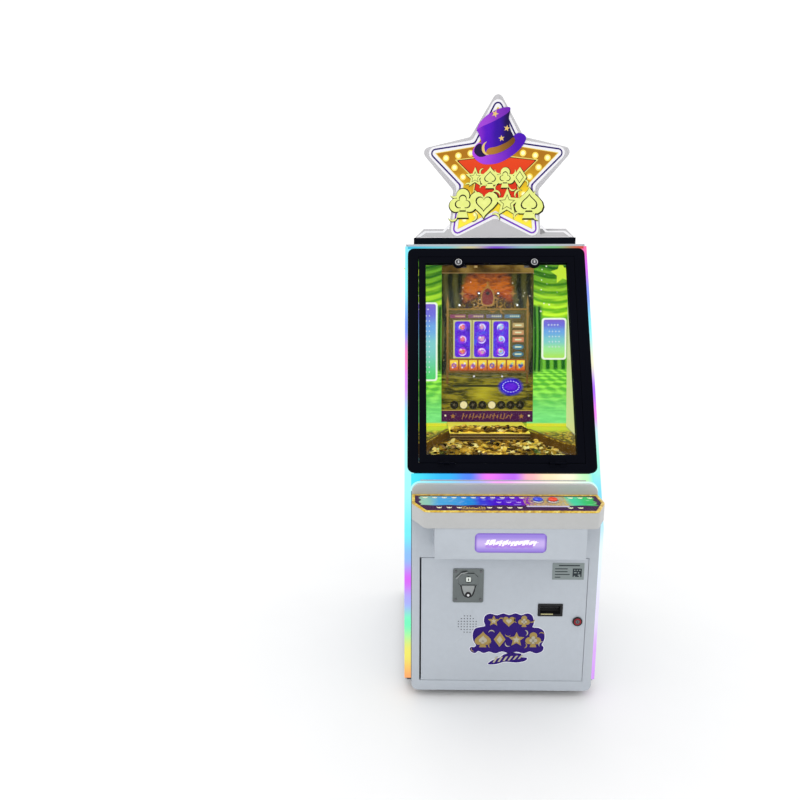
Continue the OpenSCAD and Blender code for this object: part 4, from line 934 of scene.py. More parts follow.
class PUSHER_OT_service_door(Piece):
    """Hinged door with coin acceptor, ticket mouth, speaker, lock and prints"""
    bl_idname = "pusher.service_door"
    bl_label = "Service door"

    def execute(self, context):
        f = FINISH
        casing("service_door", f["white"], 0.0008)
        casing("coin_acceptor_plate", f["casting"], 0.0016, 3)
        casing("coin_acceptor_body", f["black_plastic"], 0.0006)
        casing("acceptor_screws", f["lock_steel"], 0.0008)
        casing("coin_return_button", f["black_plastic"], 0.0016, 3)
        casing("ticket_bezel", f["black_plastic"], 0.0006)
        casing("ticket_dispenser", f["grey_plastic"], 0.001)
        casing("speaker", f["black_plastic"], 0.001)
        casing("door_lock_body", f["black_plastic"], 0.0012)
        casing("door_lock_plug", f["lock_steel"], 0.0008)
        self.acceptor()
        self.label()
        self.emblem()
        self.details()
        return {"FINISHED"}

    def acceptor(self):
        f = FINISH
        lo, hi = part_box("coin_acceptor_plate")
        cx, cz = (lo.x + hi.x) / 2, (lo.z + hi.z) / 2
        face = upright(lo.y)
        square = outline(rounded_corners(corners(cx - 0.008, cx + 0.008, cz + 0.018, cz + 0.034), 0.002, 3),
                         -0.0012, 0.0012)
        dress(settle(square, face), "coin_entry_light", lamp("coin_entry_light", (0.55, 0.6, 0.55),
                                                             (0.9, 0.95, 0.9), 0.8, 300.0),
              "service_door", "cast_zinc")
        slot = settle(block(cx - 0.0018, cx + 0.0018, cz + 0.0215, cz + 0.0305, 0.001, 0.0016, 0.0003), face)
        dress(slot, "coin_entry_slot", f["black_plastic"], "service_door", "black_plastic")
        # Raised ridge at the top left and the shield, in a lighter zinc than the casting they belong to: painted
        # highlight.
        ridge = [outline([(cx - 0.046, cz + 0.030), (cx - 0.026, cz + 0.051), (cx - 0.004, cz + 0.055),
                          (cx - 0.004, cz + 0.051),
                          (cx - 0.024, cz + 0.047), (cx - 0.041, cz + 0.028)], -0.0004, 0.0010, 0.0003),
                 outline(flowing([(cx - 0.020, cz + 0.002), (cx + 0.020, cz + 0.002), (cx + 0.017, cz - 0.022),
                                  (cx + 0.008, cz - 0.038), (cx - 0.008, cz - 0.038),
                                  (cx - 0.017, cz - 0.022)]),
                         -0.0055, -0.0032, 0.0008)]
        dress(settle(join(ridge, "ridge"), face), "acceptor_relief_highlight",
              plated("relief_zinc_painted_highlight", (0.34, 0.36, 0.36), 0.3, 0.6),
              "service_door", "cast_zinc")
        # Black pieces sunk in the casting's grooves stand for the shade in those recesses: painted shade.
        bits = []
        for m in (-1, 1):
            pts = [(m * 0.036, 0.008), (m * 0.030, 0.004), (m * 0.026, -0.006), (m * 0.023, -0.022),
                   (m * 0.018, -0.036), (m * 0.010, -0.044)]
            back = [(x - m * 0.004, z + 0.001) for x, z in reversed(pts)]
            loop = pts + back
            if m < 0:
                loop = loop[::-1]
            bits.append(outline([(cx + x, cz + z) for x, z in loop[::-1]], -0.006, -0.0042))
        bits.append(block(cx - 0.024, cx + 0.024, cz + 0.0045, cz + 0.0065, -0.006, 0.0006))
        grooves = settle(join(bits, "grooves"), face)
        dress(grooves, "acceptor_grooves", f["black_plastic"], "service_door", "black_plastic")
        rlo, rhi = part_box("coin_return_button")
        rx, rz = (rlo.x + rhi.x) / 2, (rlo.z + rhi.z) / 2
        cap = settle(disc(rx, rz, 0.0045, -0.0002, 0.0012, 20, 0.0005), upright(rlo.y))
        dress(cap, "return_button_cap", f["chrome"], "coin_return", "bright_steel")

    def label(self):
        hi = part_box("door_plates")[1]
        face = upright(DOOR_LO.y)
        x1, z1 = hi.x, hi.z
        w, h = 0.111, 0.063
        grey = printed("label_grey", (0.25, 0.29, 0.29), 0.4)
        plate = settle(outline(rounded_corners(corners(x1 - w, x1, z1 - h, z1)[::-1],
                                               0.002)[::-1],
                               0.0, 0.0009), face)
        dress(plate, "label_sheet", grey, "service_door", "plate_print", "door_plates")
        ink = printed("label_ink", (0.03, 0.04, 0.045), 0.5)
        bars = [block(x1 - w + 0.022, x1 - 0.016, z1 - 0.0115, z1 - 0.0075, 0.0008, 0.0012)]
        for i, run in enumerate((0.044, 0.044, 0.052, 0.02)):
            z = z1 - 0.022 - i * 0.0105
            bars.append(block(x1 - w + 0.009, x1 - w + 0.009 + run, z - 0.0016, z + 0.0016, 0.0008, 0.0012))
        rnd = random.Random(3)
        for i in range(7):
            for j in range(7):
                if rnd.random() < 0.82:
                    bx, bz = x1 - 0.040 + i * 0.0045, z1 - 0.052 + j * 0.0045
                    bars.append(block(bx, bx + 0.0045, bz, bz + 0.0045, 0.0008, 0.0012))
        dress(settle(join(bars, "ink"), face), "label_marks", ink, "service_door", "plate_print")

    def emblem(self):
        """Indigo cloud-edged plaque with gold card suits, stars and scrolls in two rows."""
        face = upright(DOOR_LO.y)
        indigo = printed("emblem_indigo", (0.022, 0.004, 0.15), 0.3)
        white = printed("emblem_border", (0.80, 0.80, 0.88), 0.35)
        gold = printed("emblem_gold", (0.36, 0.25, 0.08), 0.3)
        silver = printed("emblem_silver", (0.46, 0.42, 0.32), 0.3)
        cloud = [(-0.117, 0.196), (-0.108, 0.184), (-0.096, 0.181), (-0.085, 0.189), (-0.066, 0.181),
                 (-0.046, 0.187),
                 (-0.024, 0.180), (0.0, 0.188), (0.026, 0.181), (0.052, 0.187), (0.078, 0.181), (0.100, 0.189),
                 (0.122, 0.181), (0.144, 0.190), (0.148, 0.206), (0.141, 0.216), (0.150, 0.238), (0.147, 0.268),
                 (0.128, 0.281), (0.106, 0.284), (0.110, 0.300), (0.104, 0.328), (0.086, 0.338), (0.064, 0.331),
                 (0.044, 0.338), (0.022, 0.331), (0.0, 0.337), (-0.022, 0.330), (-0.046, 0.336),
                 (-0.064, 0.327),
                 (-0.068, 0.306), (-0.063, 0.288), (-0.082, 0.283), (-0.100, 0.276), (-0.107, 0.252),
                 (-0.103, 0.228),
                 (-0.094, 0.212), (-0.101, 0.204), (-0.111, 0.205)]
        banner = [(-0.050, 0.137), (-0.020, 0.137), (0.012, 0.147), (0.052, 0.144), (0.084, 0.151),
                  (0.090, 0.163),
                  (0.066, 0.166), (0.070, 0.178), (0.038, 0.182), (0.008, 0.176), (-0.008, 0.163),
                  (-0.034, 0.152)]
        for name, grow, z1, mat in (("emblem_rim", 0.0028, 0.0008, white),
                                    ("emblem_field", 0.0, 0.0014, indigo)):
            parts = [outline(flowing(grown(shape, grow), 3), 0.0, z1) for shape in (cloud, banner)]
            dress(settle(join(parts, name), face), name, mat, "service_door", "plate_print")
        bright, pale = [], []
        for i, kind in enumerate((star, heart, club)):
            x = -0.033 + i * 0.054
            bright.append(kind(x, 0.308, 0.0225, 0.0014, 0.0020))
            pale.append(kind(x, 0.308, 0.0105, 0.0020, 0.0024))
            bright.append(crescent(x + 0.027, 0.312, 0.010, 0.0014, 0.0020, 100 * i, 0.45))
        for i, kind in enumerate((spade, diamond, star, club)):
            x = -0.070 + i * 0.060
            bright.append(kind(x, 0.236, 0.0300, 0.0014, 0.0020))
            pale.append(kind(x, 0.235, 0.0150, 0.0020, 0.0024))
            pale.append(crescent(x + 0.030, 0.262 - 0.044 * (i % 2), 0.011, 0.0014, 0.0021, 140 * i, 0.4))
            bright.append(crescent(x + 0.029, 0.212 + 0.044 * (i % 2), 0.010, 0.0014, 0.0020, 80 + 90 * i, 0.4))
        bright.append(crescent(-0.104, 0.196, 0.0085, 0.0014, 0.0020, 120, 0.4))
        for i in range(6):
            pale.append(outline([(-0.033 + i * 0.018, 0.143 + i * 0.003),
                                 (-0.026 + i * 0.018, 0.144 + i * 0.003),
                                 (-0.014 + i * 0.018, 0.166 + i * 0.0015),
                                 (-0.022 + i * 0.018, 0.165 + i * 0.0015)][::1],
                                0.0014, 0.0020))
        dress(settle(join(bright, "signs"), face), "emblem_signs", gold, "service_door", "gilt")
        dress(settle(join(pale, "cores"), face), "emblem_cores", silver, "service_door", "gilt")

    def details(self):
        f = FINISH
        lo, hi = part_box("ticket_bezel")
        strip = settle(block(lo.x + 0.011, hi.x - 0.034, lo.z + 0.0055, lo.z + 0.0090, -0.003, 0.0, 0.0005),
                       upright(lo.y))
        dress(strip, "ticket_lamp", lamp("ticket_lamp", (0.45, 0.42, 0.2), (0.62, 0.58, 0.32), 0.8, 200.0),
              "service_door", "lit_window")
        llo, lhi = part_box("door_lock_body")
        cx, cz = (llo.x + lhi.x) / 2, (llo.z + lhi.z) / 2
        red = settle(ring(cx, cz, 0.0085, 0.0125, -0.0005, 0.0012), upright(llo.y))
        dress(red, "door_lock_ring", printed("lock_red", (0.35, 0.02, 0.03), 0.3), "service_door",
              "red_plastic")
        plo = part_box("door_lock_plug")[0]
        slot = settle(block(cx - 0.0012, cx + 0.0012, cz - 0.004, cz + 0.004, -0.0004, 0.0003), upright(plo.y))
        dress(slot, "door_key_slot", f["black_plastic"], "door_lock", "black_plastic")


class PUSHER_OT_sloping_front(Piece):
    """Black frame, glass door, glass, its hinges and locks"""
    bl_idname = "pusher.sloping_front"
    bl_label = "Sloping front"

    def execute(self, context):
        f = FINISH
        casing("outer_frame", f["black"], 0.004, 3)
        casing("glass_door_frame", f["black"], 0.0018)
        casing("front_glass", f["glass"], 0.0006)
        casing("glass_hinge_leaves", f["black"], 0.0004)
        for side, node, body in ((-1, "glass_lock_left", "glass_lock_l"),
                                 (1, "glass_lock_right", "glass_lock_r")):
            casing(node, f["lock_steel"], 0.0008)
            x, s = side * 0.146, (FRAME_LEN - 0.036 - 0.023)
            nut = settle(disc(x, s, 0.0145, 0.0, 0.004, 36, 0.001), SLOPE)
            dress(nut, node + "_nut", f["black_plastic"], "glass_door", "bright_steel")
            edge = settle(ring(x, s, 0.0105, 0.0130, 0.0032, 0.0056), SLOPE)
            dress(edge, node + "_edge", f["chrome"], "glass_door", "bright_steel")
            rim = settle(ring(x, s, 0.0165, 0.022, -0.001, 0.004), SLOPE)
            dress(rim, node + "_escutcheon", f["black"], "glass_door", "black_frame")
            key = settle(disc(x, s, 0.008, 0.0025, 0.0064, 24, 0.0006), SLOPE)
            dress(key, node + "_key", f["lock_steel"], body, "black_plastic")
            slot = settle(block(x - 0.0012, x + 0.0012, s - 0.005, s + 0.005, 0.0062, 0.0068), SLOPE)
            dress(slot, node + "_slot", f["chrome"], body, "bright_steel")
        return {"FINISHED"}


class PUSHER_OT_edge_lights(Piece):
    """Coloured light diffusers round the front"""
    bl_idname = "pusher.edge_lights"
    bl_label = "Edge lights"

    def execute(self, context):
        glow = looks().lamp_glow
        left = rainbow("left_lamps", 2, [
            (0.03, (1.0, 0.45, 0.2)), (0.15, (0.9, 0.85, 0.2)), (0.27, (0.25, 1.0, 0.6)),
            (0.36, (0.5, 0.5, 1.0)),
            (0.44, (0.75, 0.2, 1.0)), (0.53, (0.35, 0.6, 1.0)), (0.62, (0.25, 0.9, 1.0)),
            (0.76, (0.45, 0.95, 1.0)),
            (0.90, (0.5, 1.0, 0.95)), (1.0, (0.3, 0.9, 1.0)), (1.12, (0.8, 0.35, 1.0)),
            (1.22, (1.0, 0.3, 0.65)),
            (1.32, (0.25, 0.4, 1.0)), (1.48, (0.3, 0.9, 1.0)), (1.65, (0.3, 0.85, 1.0))], glow)
        right = rainbow("right_lamps", 2, [
            (0.03, (0.75, 0.4, 1.0)), (0.16, (0.8, 0.5, 1.0)), (0.3, (0.85, 0.8, 1.0)),
            (0.55, (0.85, 0.95, 1.0)),
            (0.75, (0.3, 0.8, 1.0)), (0.86, (0.45, 1.0, 0.8)), (0.95, (0.6, 0.9, 0.9)), (1.02, (0.9, 0.3, 0.9)),
            (1.10, (0.5, 0.2, 1.0)), (1.2, (0.9, 0.9, 0.7)), (1.33, (0.3, 0.9, 1.0)), (1.45, (0.3, 0.4, 1.0)),
            (1.55, (0.75, 0.2, 0.9)), (1.65, (1.0, 0.2, 0.35))], glow)
        band = rainbow("band_lamps", 0, [
            (-0.34, (0.1, 0.85, 1.0)), (-0.2, (0.05, 0.55, 1.0)), (-0.12, (0.12, 0.3, 1.0)),
            (-0.05, (0.9, 0.25, 0.95)),
            (0.04, (0.6, 0.2, 1.0)), (0.10, (1.0, 0.55, 0.6)), (0.16, (1.0, 0.85, 0.6)),
            (0.24, (1.0, 0.95, 0.75)),
            (0.30, (0.6, 1.0, 0.6)), (0.34, (0.2, 0.85, 1.0))], glow)
        line = rainbow("line_lamps", 0, [
            (-0.34, (0.1, 0.75, 1.0)), (-0.2, (0.3, 0.8, 0.9)), (-0.1, (0.85, 0.8, 0.5)),
            (0.0, (0.35, 0.15, 0.9)),
            (0.12, (0.4, 0.7, 0.7)), (0.22, (0.3, 0.75, 0.35)), (0.34, (0.85, 0.15, 0.1))], glow * 0.7)
        source = frame["nodes"]["edge_lights"]
        obj = source.copy()
        obj.data = source.data.copy()
        obj.parent = None
        for key in list(obj.keys()):
            del obj[key]
        context.scene.collection.objects.link(obj)
        take(obj)
        bpy.ops.object.mode_set(mode="EDIT")
        bpy.ops.mesh.select_all(action="SELECT")
        bpy.ops.mesh.remove_doubles(threshold=0.00001)
        bpy.ops.mesh.dissolve_limited(angle_limit=math.radians(0.5))
        bpy.ops.mesh.separate(type="LOOSE")
        bpy.ops.object.mode_set(mode="OBJECT")
        for i, piece in enumerate(list(context.selected_objects)):
            xs = [v.co.x for v in piece.data.vertices]
            zs = [v.co.z for v in piece.data.vertices]
            if max(xs) < 0:
                mat = left
            elif min(xs) > 0:
                mat = right
            elif max(zs) > 1.2:
                mat = line
            else:
                mat = band
            soften(piece, 0.0025, 3)
            dress(piece, f"diffuser_{i}", mat, "cabinet", "diffuser", "edge_lights")
        half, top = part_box("front_cabinet")[1].x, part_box("shelf_housing")[1].z
        arch = rounded_corners(corners(-half, half, 0.70, top), 0.030)
        outer, inner = ([q for q in grown(arch, d) if q[1] > 0.75] for d in (0.0055, 0.0004))
        edge_line = settle(outline(outer + inner[::-1], 0.0, 0.004), upright(-0.269))
        pale = rainbow("riser_line_lamps", 0, [
            (-0.34, (0.55, 1.0, 1.0)), (-0.22, (0.35, 0.85, 1.0)), (-0.10, (0.5, 0.6, 1.0)),
            (-0.02, (1.0, 0.5, 1.0)),
            (0.10, (1.0, 0.8, 0.9)), (0.2, (1.0, 1.0, 0.85)), (0.34, (0.7, 1.0, 0.95))], glow)
        dress(edge_line, "riser_line", pale, "cabinet", "diffuser")
        return {"FINISHED"}


class PUSHER_OT_sign(Piece):
    """Roof bar and the clear star sign with its printed star, hat, bulbs and card signs"""
    bl_idname = "pusher.sign"
    bl_label = "Sign"

    def execute(self, context):
        f = FINISH
        casing("top_bar", f["navy"], 0.0012)
        casing("sign_board", f["sign_acrylic"], 0.0012)
        base = upright(SIGN_LO.y)
        cz = SIGN_HI.z - 0.2930

        def five(outer, inner, radius, z0, z1, cut=None):
            pts = spin_points(10, lambda i: outer if i % 2 == 0 else inner, 90, 0.0, cz)
            lift = {2: 0.005, 8: 0.005, 3: 0.009, 7: 0.009}
            pts = [(x, y + lift.get(i, 0.0)) for i, (x, y) in enumerate(pts)]
            return outline(rounded_corners(pts, radius, 5), z0, z1)

        white = printed("sign_white", (0.90, 0.89, 0.92), 0.3, 0.12)
        violet = shaded("sign_violet", (0.20, 0.04, 0.55), (0.018, 0.004, 0.13), 2, (cz - 0.25, cz + 0.05), 0.3,
                        0.1)
        amber = Paint("sign_amber", (0.85, 0.55, 0.03), 0.3, 0.0, 0.12)
        x, y, z = amber.xyz()
        mixed = amber.ramp((cz + 0.10 - z) / 0.30 + (amber.noise(14.0) - 0.5) * 0.7, [
            (0.0, (0.42, 0.17, 0.008)), (0.35, (0.62, 0.33, 0.012)), (0.65, (0.90, 0.62, 0.02)),
            (1.0, (0.98, 0.84, 0.05))])
        amber.backlit(mixed, 0.3, 0.3)
        red = shaded("sign_red", (0.68, 0.025, 0.006), (0.80, 0.07, 0.012), 2, (cz - 0.1, cz + 0.12), 0.3, 0.2)
        dark_red = printed("sign_maroon", (0.05, 0.004, 0.004), 0.3)
        edge = printed("sign_edge_gold", (0.88, 0.70, 0.16), 0.3, 0.15)
        layers = (
            ("star_white", 0.301, 0.160, 0.024, 0.0, 0.0006, white),
            ("star_violet", 0.287, 0.1485, 0.018, 0.0006, 0.0010, violet),
            ("star_white_inner", 0.2740, 0.1418, 0.012, 0.0010, 0.0014, white),
            ("star_gold_edge", 0.2500, 0.1330, 0.002, 0.0014, 0.0018, edge),
            ("star_amber", 0.2440, 0.1300, 0.002, 0.0018, 0.0022, amber.material),
            ("star_inner_edge", 0.1700, 0.0870, 0.002, 0.0022, 0.0028, edge),
            ("star_maroon", 0.1620, 0.0825, 0.002, 0.0028, 0.0032, dark_red),
            ("star_red", 0.1560, 0.0795, 0.002, 0.0032, 0.0036, red))
        for i, (name, outer, inner, radius, z0, z1, mat) in enumerate(layers):
            nodes = ("sign_art",) if i == 0 else ()
            dress(settle(five(outer, inner, radius, z0, z1), base), name, mat, "cabinet", "sign_print", *nodes)
        self.bulbs(base, cz)
        self.hat(base, cz)
        self.signs(base, cz)
        self.foot(base, white)
        return {"FINISHED"}

    def bulbs(self, base, cz):
        halo = Paint("bulb_halo", (0.6, 0.45, 0.08), 0.3, 0.0, 0.1)
        halo.glow(halo.mix(halo.noise(80.0), (0.80, 0.58, 0.06), (0.92, 0.75, 0.16)), 0.45)
        core = Paint("bulb_core", (0.7, 0.66, 0.35), 0.3, 0.0, 0.1)
        core.glow(core.mix(core.noise(80.0), (0.85, 0.80, 0.35), (0.95, 0.95, 0.6)), 0.5)
        halos, cores = [], []
        for tip in range(5):
            a = math.radians(90 + 72 * tip)
            point = Vector((math.cos(a), math.sin(a))) * 0.205
            for m in (-1, 1):
                b = math.radians(90 + 72 * tip + 36 * m)
                notch = Vector((math.cos(b), math.sin(b))) * 0.108
                for t in (0.0, 0.36, 0.72) if m > 0 else (0.36, 0.72):
                    q = point.lerp(notch, t)
                    halos.append(disc(q.x, cz + q.y, 0.0125, 0.0022, 0.0030, 20))
                    cores.append(disc(q.x, cz + q.y, 0.0075, 0.0030, 0.0042, 18, 0.0005))
        dress(settle(join(halos, "halos"), base), "bulb_halos", halo.material, "cabinet", "sign_print")
        dress(settle(join(cores, "cores"), base), "bulb_cores", core.material, "cabinet", "sign_print")

    def hat(self, base, cz):
        """A tilted conjuror's top hat in relief."""
        def shape(points, z0, z1, steps=4):
            return outline(flowing([(x / 1000, cz + z / 1000) for x, z in points], steps), z0, z1)

        hat = Paint("hat_violet", (0.12, 0.01, 0.5), 0.35, 0.0, 0.12)
        x, _, z = hat.xyz()
        shade = hat.ramp((x + 0.075) / 0.14 + (hat.noise(25.0) - 0.5) * 0.15, [
            (0.0, (0.22, 0.02, 0.55)), (0.25, (0.09, 0.004, 0.50)), (0.55, (0.035, 0.002, 0.32)),
            (0.8, (0.010, 0.002, 0.07)),
            (1.0, (0.008, 0.002, 0.05))])
        hat.backlit(shade, 0.3, 0.35)
        bright = shaded("hat_brim", (0.42, 0.06, 0.75), (0.07, 0.004, 0.45), 0, (-0.09, 0.09), 0.3, 0.3)
        lid = shaded("hat_lid", (0.36, 0.06, 0.66), (0.15, 0.015, 0.42), 0, (-0.07, 0.05), 0.35, 0.25)
        night = printed("hat_inside", (0.015, 0.003, 0.06), 0.4)
        brown = shaded("hat_strap", (0.45, 0.20, 0.03), (0.16, 0.06, 0.01), 0, (-0.04, 0.07), 0.4, 0.15)
        gold = printed("hat_gold", (0.80, 0.56, 0.18), 0.3, 0.25)
        brim = shape([(-95, 84), (-88, 66), (-67, 48), (-41, 40), (7, 45), (55, 69), (92, 100), (110, 131),
                      (104, 146),
                      (92, 152), (76, 153), (66, 146), (20, 120), (-54, 118), (-67, 120), (-83, 108)], 0.0036,
                      0.0044)
        under = shape([(-87, 94), (-84, 80), (-68, 68), (-46, 70), (-36, 84), (-46, 104), (-64, 116),
                       (-80, 108)],
                      0.0044, 0.0048)
        crown = shape([(-54, 92), (-25, 78), (17, 88), (66, 120), (63, 139), (49, 167), (42, 206), (47, 238),
                       (33, 226),
                       (-14, 200), (-57, 180), (-79, 168), (-72, 152), (-62, 128)], 0.0048, 0.0056)
        top = shape([(-79, 167), (-57, 178), (-14, 196), (33, 222), (47, 238), (40, 246), (7, 241), (-32, 223),
                     (-64, 196)],
                    0.0056, 0.0060)
        strap = shape([(-40, 78), (-8, 77), (34, 93), (66, 118), (62, 138), (38, 121), (0, 105), (-34, 97)],
                      0.0056, 0.0060)
        moon = crescent(-0.034, cz + 0.098, 0.025, 0.0060, 0.0065, 100, 0.42)
        stars = [star(0.035, cz + 0.170, 0.012, 0.0056, 0.0064, 0.42, 5, -10),
                 star(0.016, cz + 0.134, 0.012, 0.0056, 0.0064, 0.42, 5, 8),
                 star(-0.011, cz + 0.222, 0.014, 0.0060, 0.0065, 0.4, 5, -20)]
        for name, obj, mat in (("hat_brim", brim, bright), ("hat_under", under, night),
                               ("hat_crown", crown, hat.material),
                               ("hat_top", top, lid), ("hat_strap", strap, brown),
                               ("hat_signs", join([moon] + stars, "s"), gold)):
            dress(settle(obj, base), name, mat, "cabinet", "sign_print")

    def signs(self, base, cz):
        """Two rows of pale glowing card suits, stars and swashes, each over a dark shadow copy."""
        glow = lamp("sign_pale", (0.72, 0.80, 0.20), (0.86, 0.90, 0.30), 0.85)
        dark = printed("sign_shadow", (0.02, 0.018, 0.003), 0.4)
        pale, shadow = [], []

        def sign(kind, x, up, size):
            y = cz + up
            shadow.append(kind(x + 0.0015, y - 0.0015, size * 1.09, 0.0038, 0.0044))
            pale.append(kind(x, y, size, 0.0044, 0.0056))
            shadow.append(kind(x, y, size * 0.60, 0.0056, 0.0058))
            pale.append(kind(x, y, size * 0.50, 0.0058, 0.0062))

        def swash(x, up, size, turn):
            shadow.append(crescent(x + 0.001, cz + up - 0.001, size * 1.12, 0.0038, 0.0043, turn - 4, 0.55))
            pale.append(crescent(x, cz + up, size, 0.0043, 0.0060, turn, 0.42))

        for kind, x in ((star, -0.082), (spade, -0.024), (club, 0.034), (diamond, 0.090)):
            sign(kind, x, -0.008, 0.038)
        for kind, x in ((club, -0.128), (heart, -0.046), (star, 0.044), (spade, 0.130)):
            sign(kind, x, -0.103, 0.055)
        for i, (x, up) in enumerate(((-0.108, -0.040), (-0.053, 0.012), (0.006, 0.016), (0.062, 0.012),
                                     (0.112, -0.030),
                                     (-0.050, -0.046), (0.005, -0.048), (0.064, -0.046))):
            swash(x, up, 0.013, 75 * i)
        for i, (x, up) in enumerate(((-0.160, -0.068), (-0.088, -0.072), (0.0, -0.072), (0.088, -0.070),
                                     (0.163, -0.072),
                                     (-0.166, -0.156), (-0.088, -0.154), (0.0, -0.158), (0.088, -0.154),
                                     (0.164, -0.152))):
            swash(x, up, 0.017, 200 + 70 * i)
        dress(settle(join(shadow, "shadow"), base), "sign_shadows", dark, "cabinet", "sign_print")
        dress(settle(join(pale, "pale"), base), "sign_suits", glow, "cabinet", "sign_print")

    def foot(self, base, white):
        """White border line on the sign's clear foot."""
        zb = BAR_HI.z
        half = (BAR_HI.x - BAR_LO.x) / 2 - 0.012
        lines = []
        for m in (-1, 1):
            path = [(m * half, zb + 0.004), (m * (half - 0.030), zb + 0.026), (m * 0.205, zb + 0.026),
                    (m * 0.182, zb + 0.050)]
            inner = [(x - m * 0.006, y - 0.006) for x, y in reversed(path)]
            loop = path + inner
            lines.append(outline(loop if m < 0 else loop[::-1], 0.0, 0.0006))
        lines.append(block(-half, half, zb + 0.001, zb + 0.003, 0.0, 0.0006))
        dress(settle(join(lines, "foot"), base), "sign_foot_line", white, "cabinet", "sign_print")


class PUSHER_OT_playfield(Piece):
    """Art wall, playfield board, display, cover, placards, canopy and target"""
    bl_idname = "pusher.playfield"
    bl_label = "Playfield"

    def execute(self, context):
        f = FINISH
        casing("back_wall", f["hall"], 0.0006)
        casing("playfield_board", f["board"], 0.0008)
        casing("playfield_cover", f["acrylic"], 0.0006)
        casing("coin_nozzle", f["brass"], 0.0012)
        casing("target_rail", f["zinc"], 0.0006)
        casing("target_screw", f["zinc"], 0.0004)
        self.canopy()
        self.side_walls()
        self.band()
        self.holes()
        self.display()
        self.pillars()
        self.throne()
        self.target()
        self.placards()
        return {"FINISHED"}

    def put(self, obj, name, mat, slot, body="cabinet", *nodes):
        return dress(settle(obj, WALL), name, mat, body, slot, *nodes)

    def canopy(self):
        brown = shaded("canopy_brown", (0.16, 0.07, 0.02), (0.30, 0.19, 0.05), 0, (-0.15, 0.15), 0.3, 0.2)
        casing("canopy", brown, 0.0015)
        head = Paint("header_print", (0.1, 0.06, 0.02), 0.3, 0.0, 0.1)
        x = head.xyz()[0]
        # brown mottle, lighter towards the right
        header_mottle_lighter_right = head.ramp(head.noise(14.0, 4.0) + (x + 0.1) * 0.6, [
            (0.35, (0.020, 0.014, 0.004)), (0.55, (0.10, 0.055, 0.010)), (0.75, (0.26, 0.17, 0.04))])
        head.backlit(header_mottle_lighter_right, 0.7, 0.9)
        panel = [block(-0.197, 0.197, 0.6395, 0.712, -0.004, 0.0, 0.001)]
        self.put(join(panel, "h"), "header_panel", head.material, "board_print")
        self.put(block(0.08, 0.155, 0.686, 0.697, 0.1155, 0.118, 0.001), "canopy_lamp",
                 lamp("canopy_lamp", (0.95, 0.72, 0.36), (1, 0.92, 0.7), 0.9), "lit_window")
        rail = [block(-0.163, 0.163, 0.677, 0.6805, 0.1155, 0.1175, 0.0006),
                block(-0.197, 0.197, 0.6380, 0.6410, -0.001, 0.0015, 0.0006)]
        self.put(join(rail, "r"), "canopy_edge", printed("canopy_gold", (0.50, 0.30, 0.10), 0.3, 0.35), "gilt")

    def side_walls(self):
        """Pale printed liners on the inner faces of the side panels."""
        cream = shaded("liner_print", (0.66, 0.70, 0.32), (0.50, 0.62, 0.30), 2, (0.87, 1.5), 0.35, 0.75)
        lo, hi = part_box("back_wall")
        for m in (-1, 1):
            t = math.tan(SLOPE_TILT)
            z0, z1 = BED_HI.z + 0.045, hi.z - 0.02
            front = SLOPE.translation.y + 0.05
            pts = [(front + (z0 - SLOPE.translation.z) * t, z0),
                   (lo.y + 0.01 + (z0 - WALL.translation.z) * 0.16, z0),
                   (lo.y + (z1 - WALL.translation.z) * 0.165 - 0.01, z1),
                   (front + (z1 - SLOPE.translation.z) * t, z1)]
            side = outline(pts, 0.0, 0.0012)
            place = Matrix(((0, 0, 1, 0), (1, 0, 0, 0), (0, 1, 0, 0), (0, 0, 0, 1)))
            settle(side, place)
            side.location.x = lo.x if m < 0 else hi.x - 0.0012
            settle(side)
            dress(side, "liner_left" if m < 0 else "liner_right", cream, "cabinet", "wall_print")

    def band(self):
        """Gold signs on the violet foot band and its screws."""
        f = FINISH
        marks = [star(m * 0.147, 0.024, 0.0125, 0.0, 0.0007, 0.42) for m in (-1, 1)]
        for i in range(15):
            x = -0.105 + i * 0.0148
            tall = (0.013, 0.007, 0.010)[i % 3]
            marks.append(outline([(x - 0.004, 0.024 - tall), (x - 0.001, 0.024 - tall),
                                  (x + 0.006, 0.024 + tall),
                                  (x + 0.002, 0.024 + tall)], 0.0, 0.0006))
            marks.append(crescent(x + 0.006, 0.022 + 0.004 * math.sin(i), 0.0055, 0.0, 0.0006, 80 * i, 0.5))
        self.put(join(marks, "band"), "band_signs", printed("band_gold", (0.42, 0.19, 0.04), 0.35, 0.6), "gilt")
        # The screw heads take the glowing pale gold print: painted light, they are no lamp.
        screws = [disc(m * 0.180, 0.027, 0.0042, 0.0, 0.002, 20, 0.0007) for m in (-1, 1)]
        self.put(join(screws, "s"), "band_screws", f["pale_print"], "zinc")

    def holes(self):
        """Prize holes: dark cups behind the board, two of them lit."""
        dark = printed("hole_dark", (0.016, 0.014, 0.005), 0.5, 0.5)
        rim = printed("hole_rim", (0.02, 0.015, 0.01), 0.4)
        lit = lamp("hole_lit", (0.72, 0.62, 0.26), (0.88, 0.80, 0.46), 0.9, 120.0)
        cups, lamps, rims, marks = [], [], [], []
        for i in range(8):
            x = (i - 3.5) * HOLE_PITCH
            (lamps if i in (1, 4) else cups).append(disc(x, HOLE_S, 0.0168, -0.0078, -0.0065, 28))
            rims.append(ring(x, HOLE_S, 0.0158, 0.0182, -0.0004, 0.0010, 28))
            if i not in (1, 4):
                marks.append(star(x, HOLE_S, 0.008, -0.0065, -0.006, 0.5, 4 + i % 3))
        self.put(join(cups, "c"), "hole_cups", dark, "board_print")
        self.put(join(lamps, "l"), "hole_lamps", lit, "lit_window")
        self.put(join(rims, "r"), "hole_rims", rim, "black_plastic")
        self.put(join(marks, "m"), "hole_marks", printed("hole_mark", (0.13, 0.10, 0.05), 0.4, 0.5), "gilt")

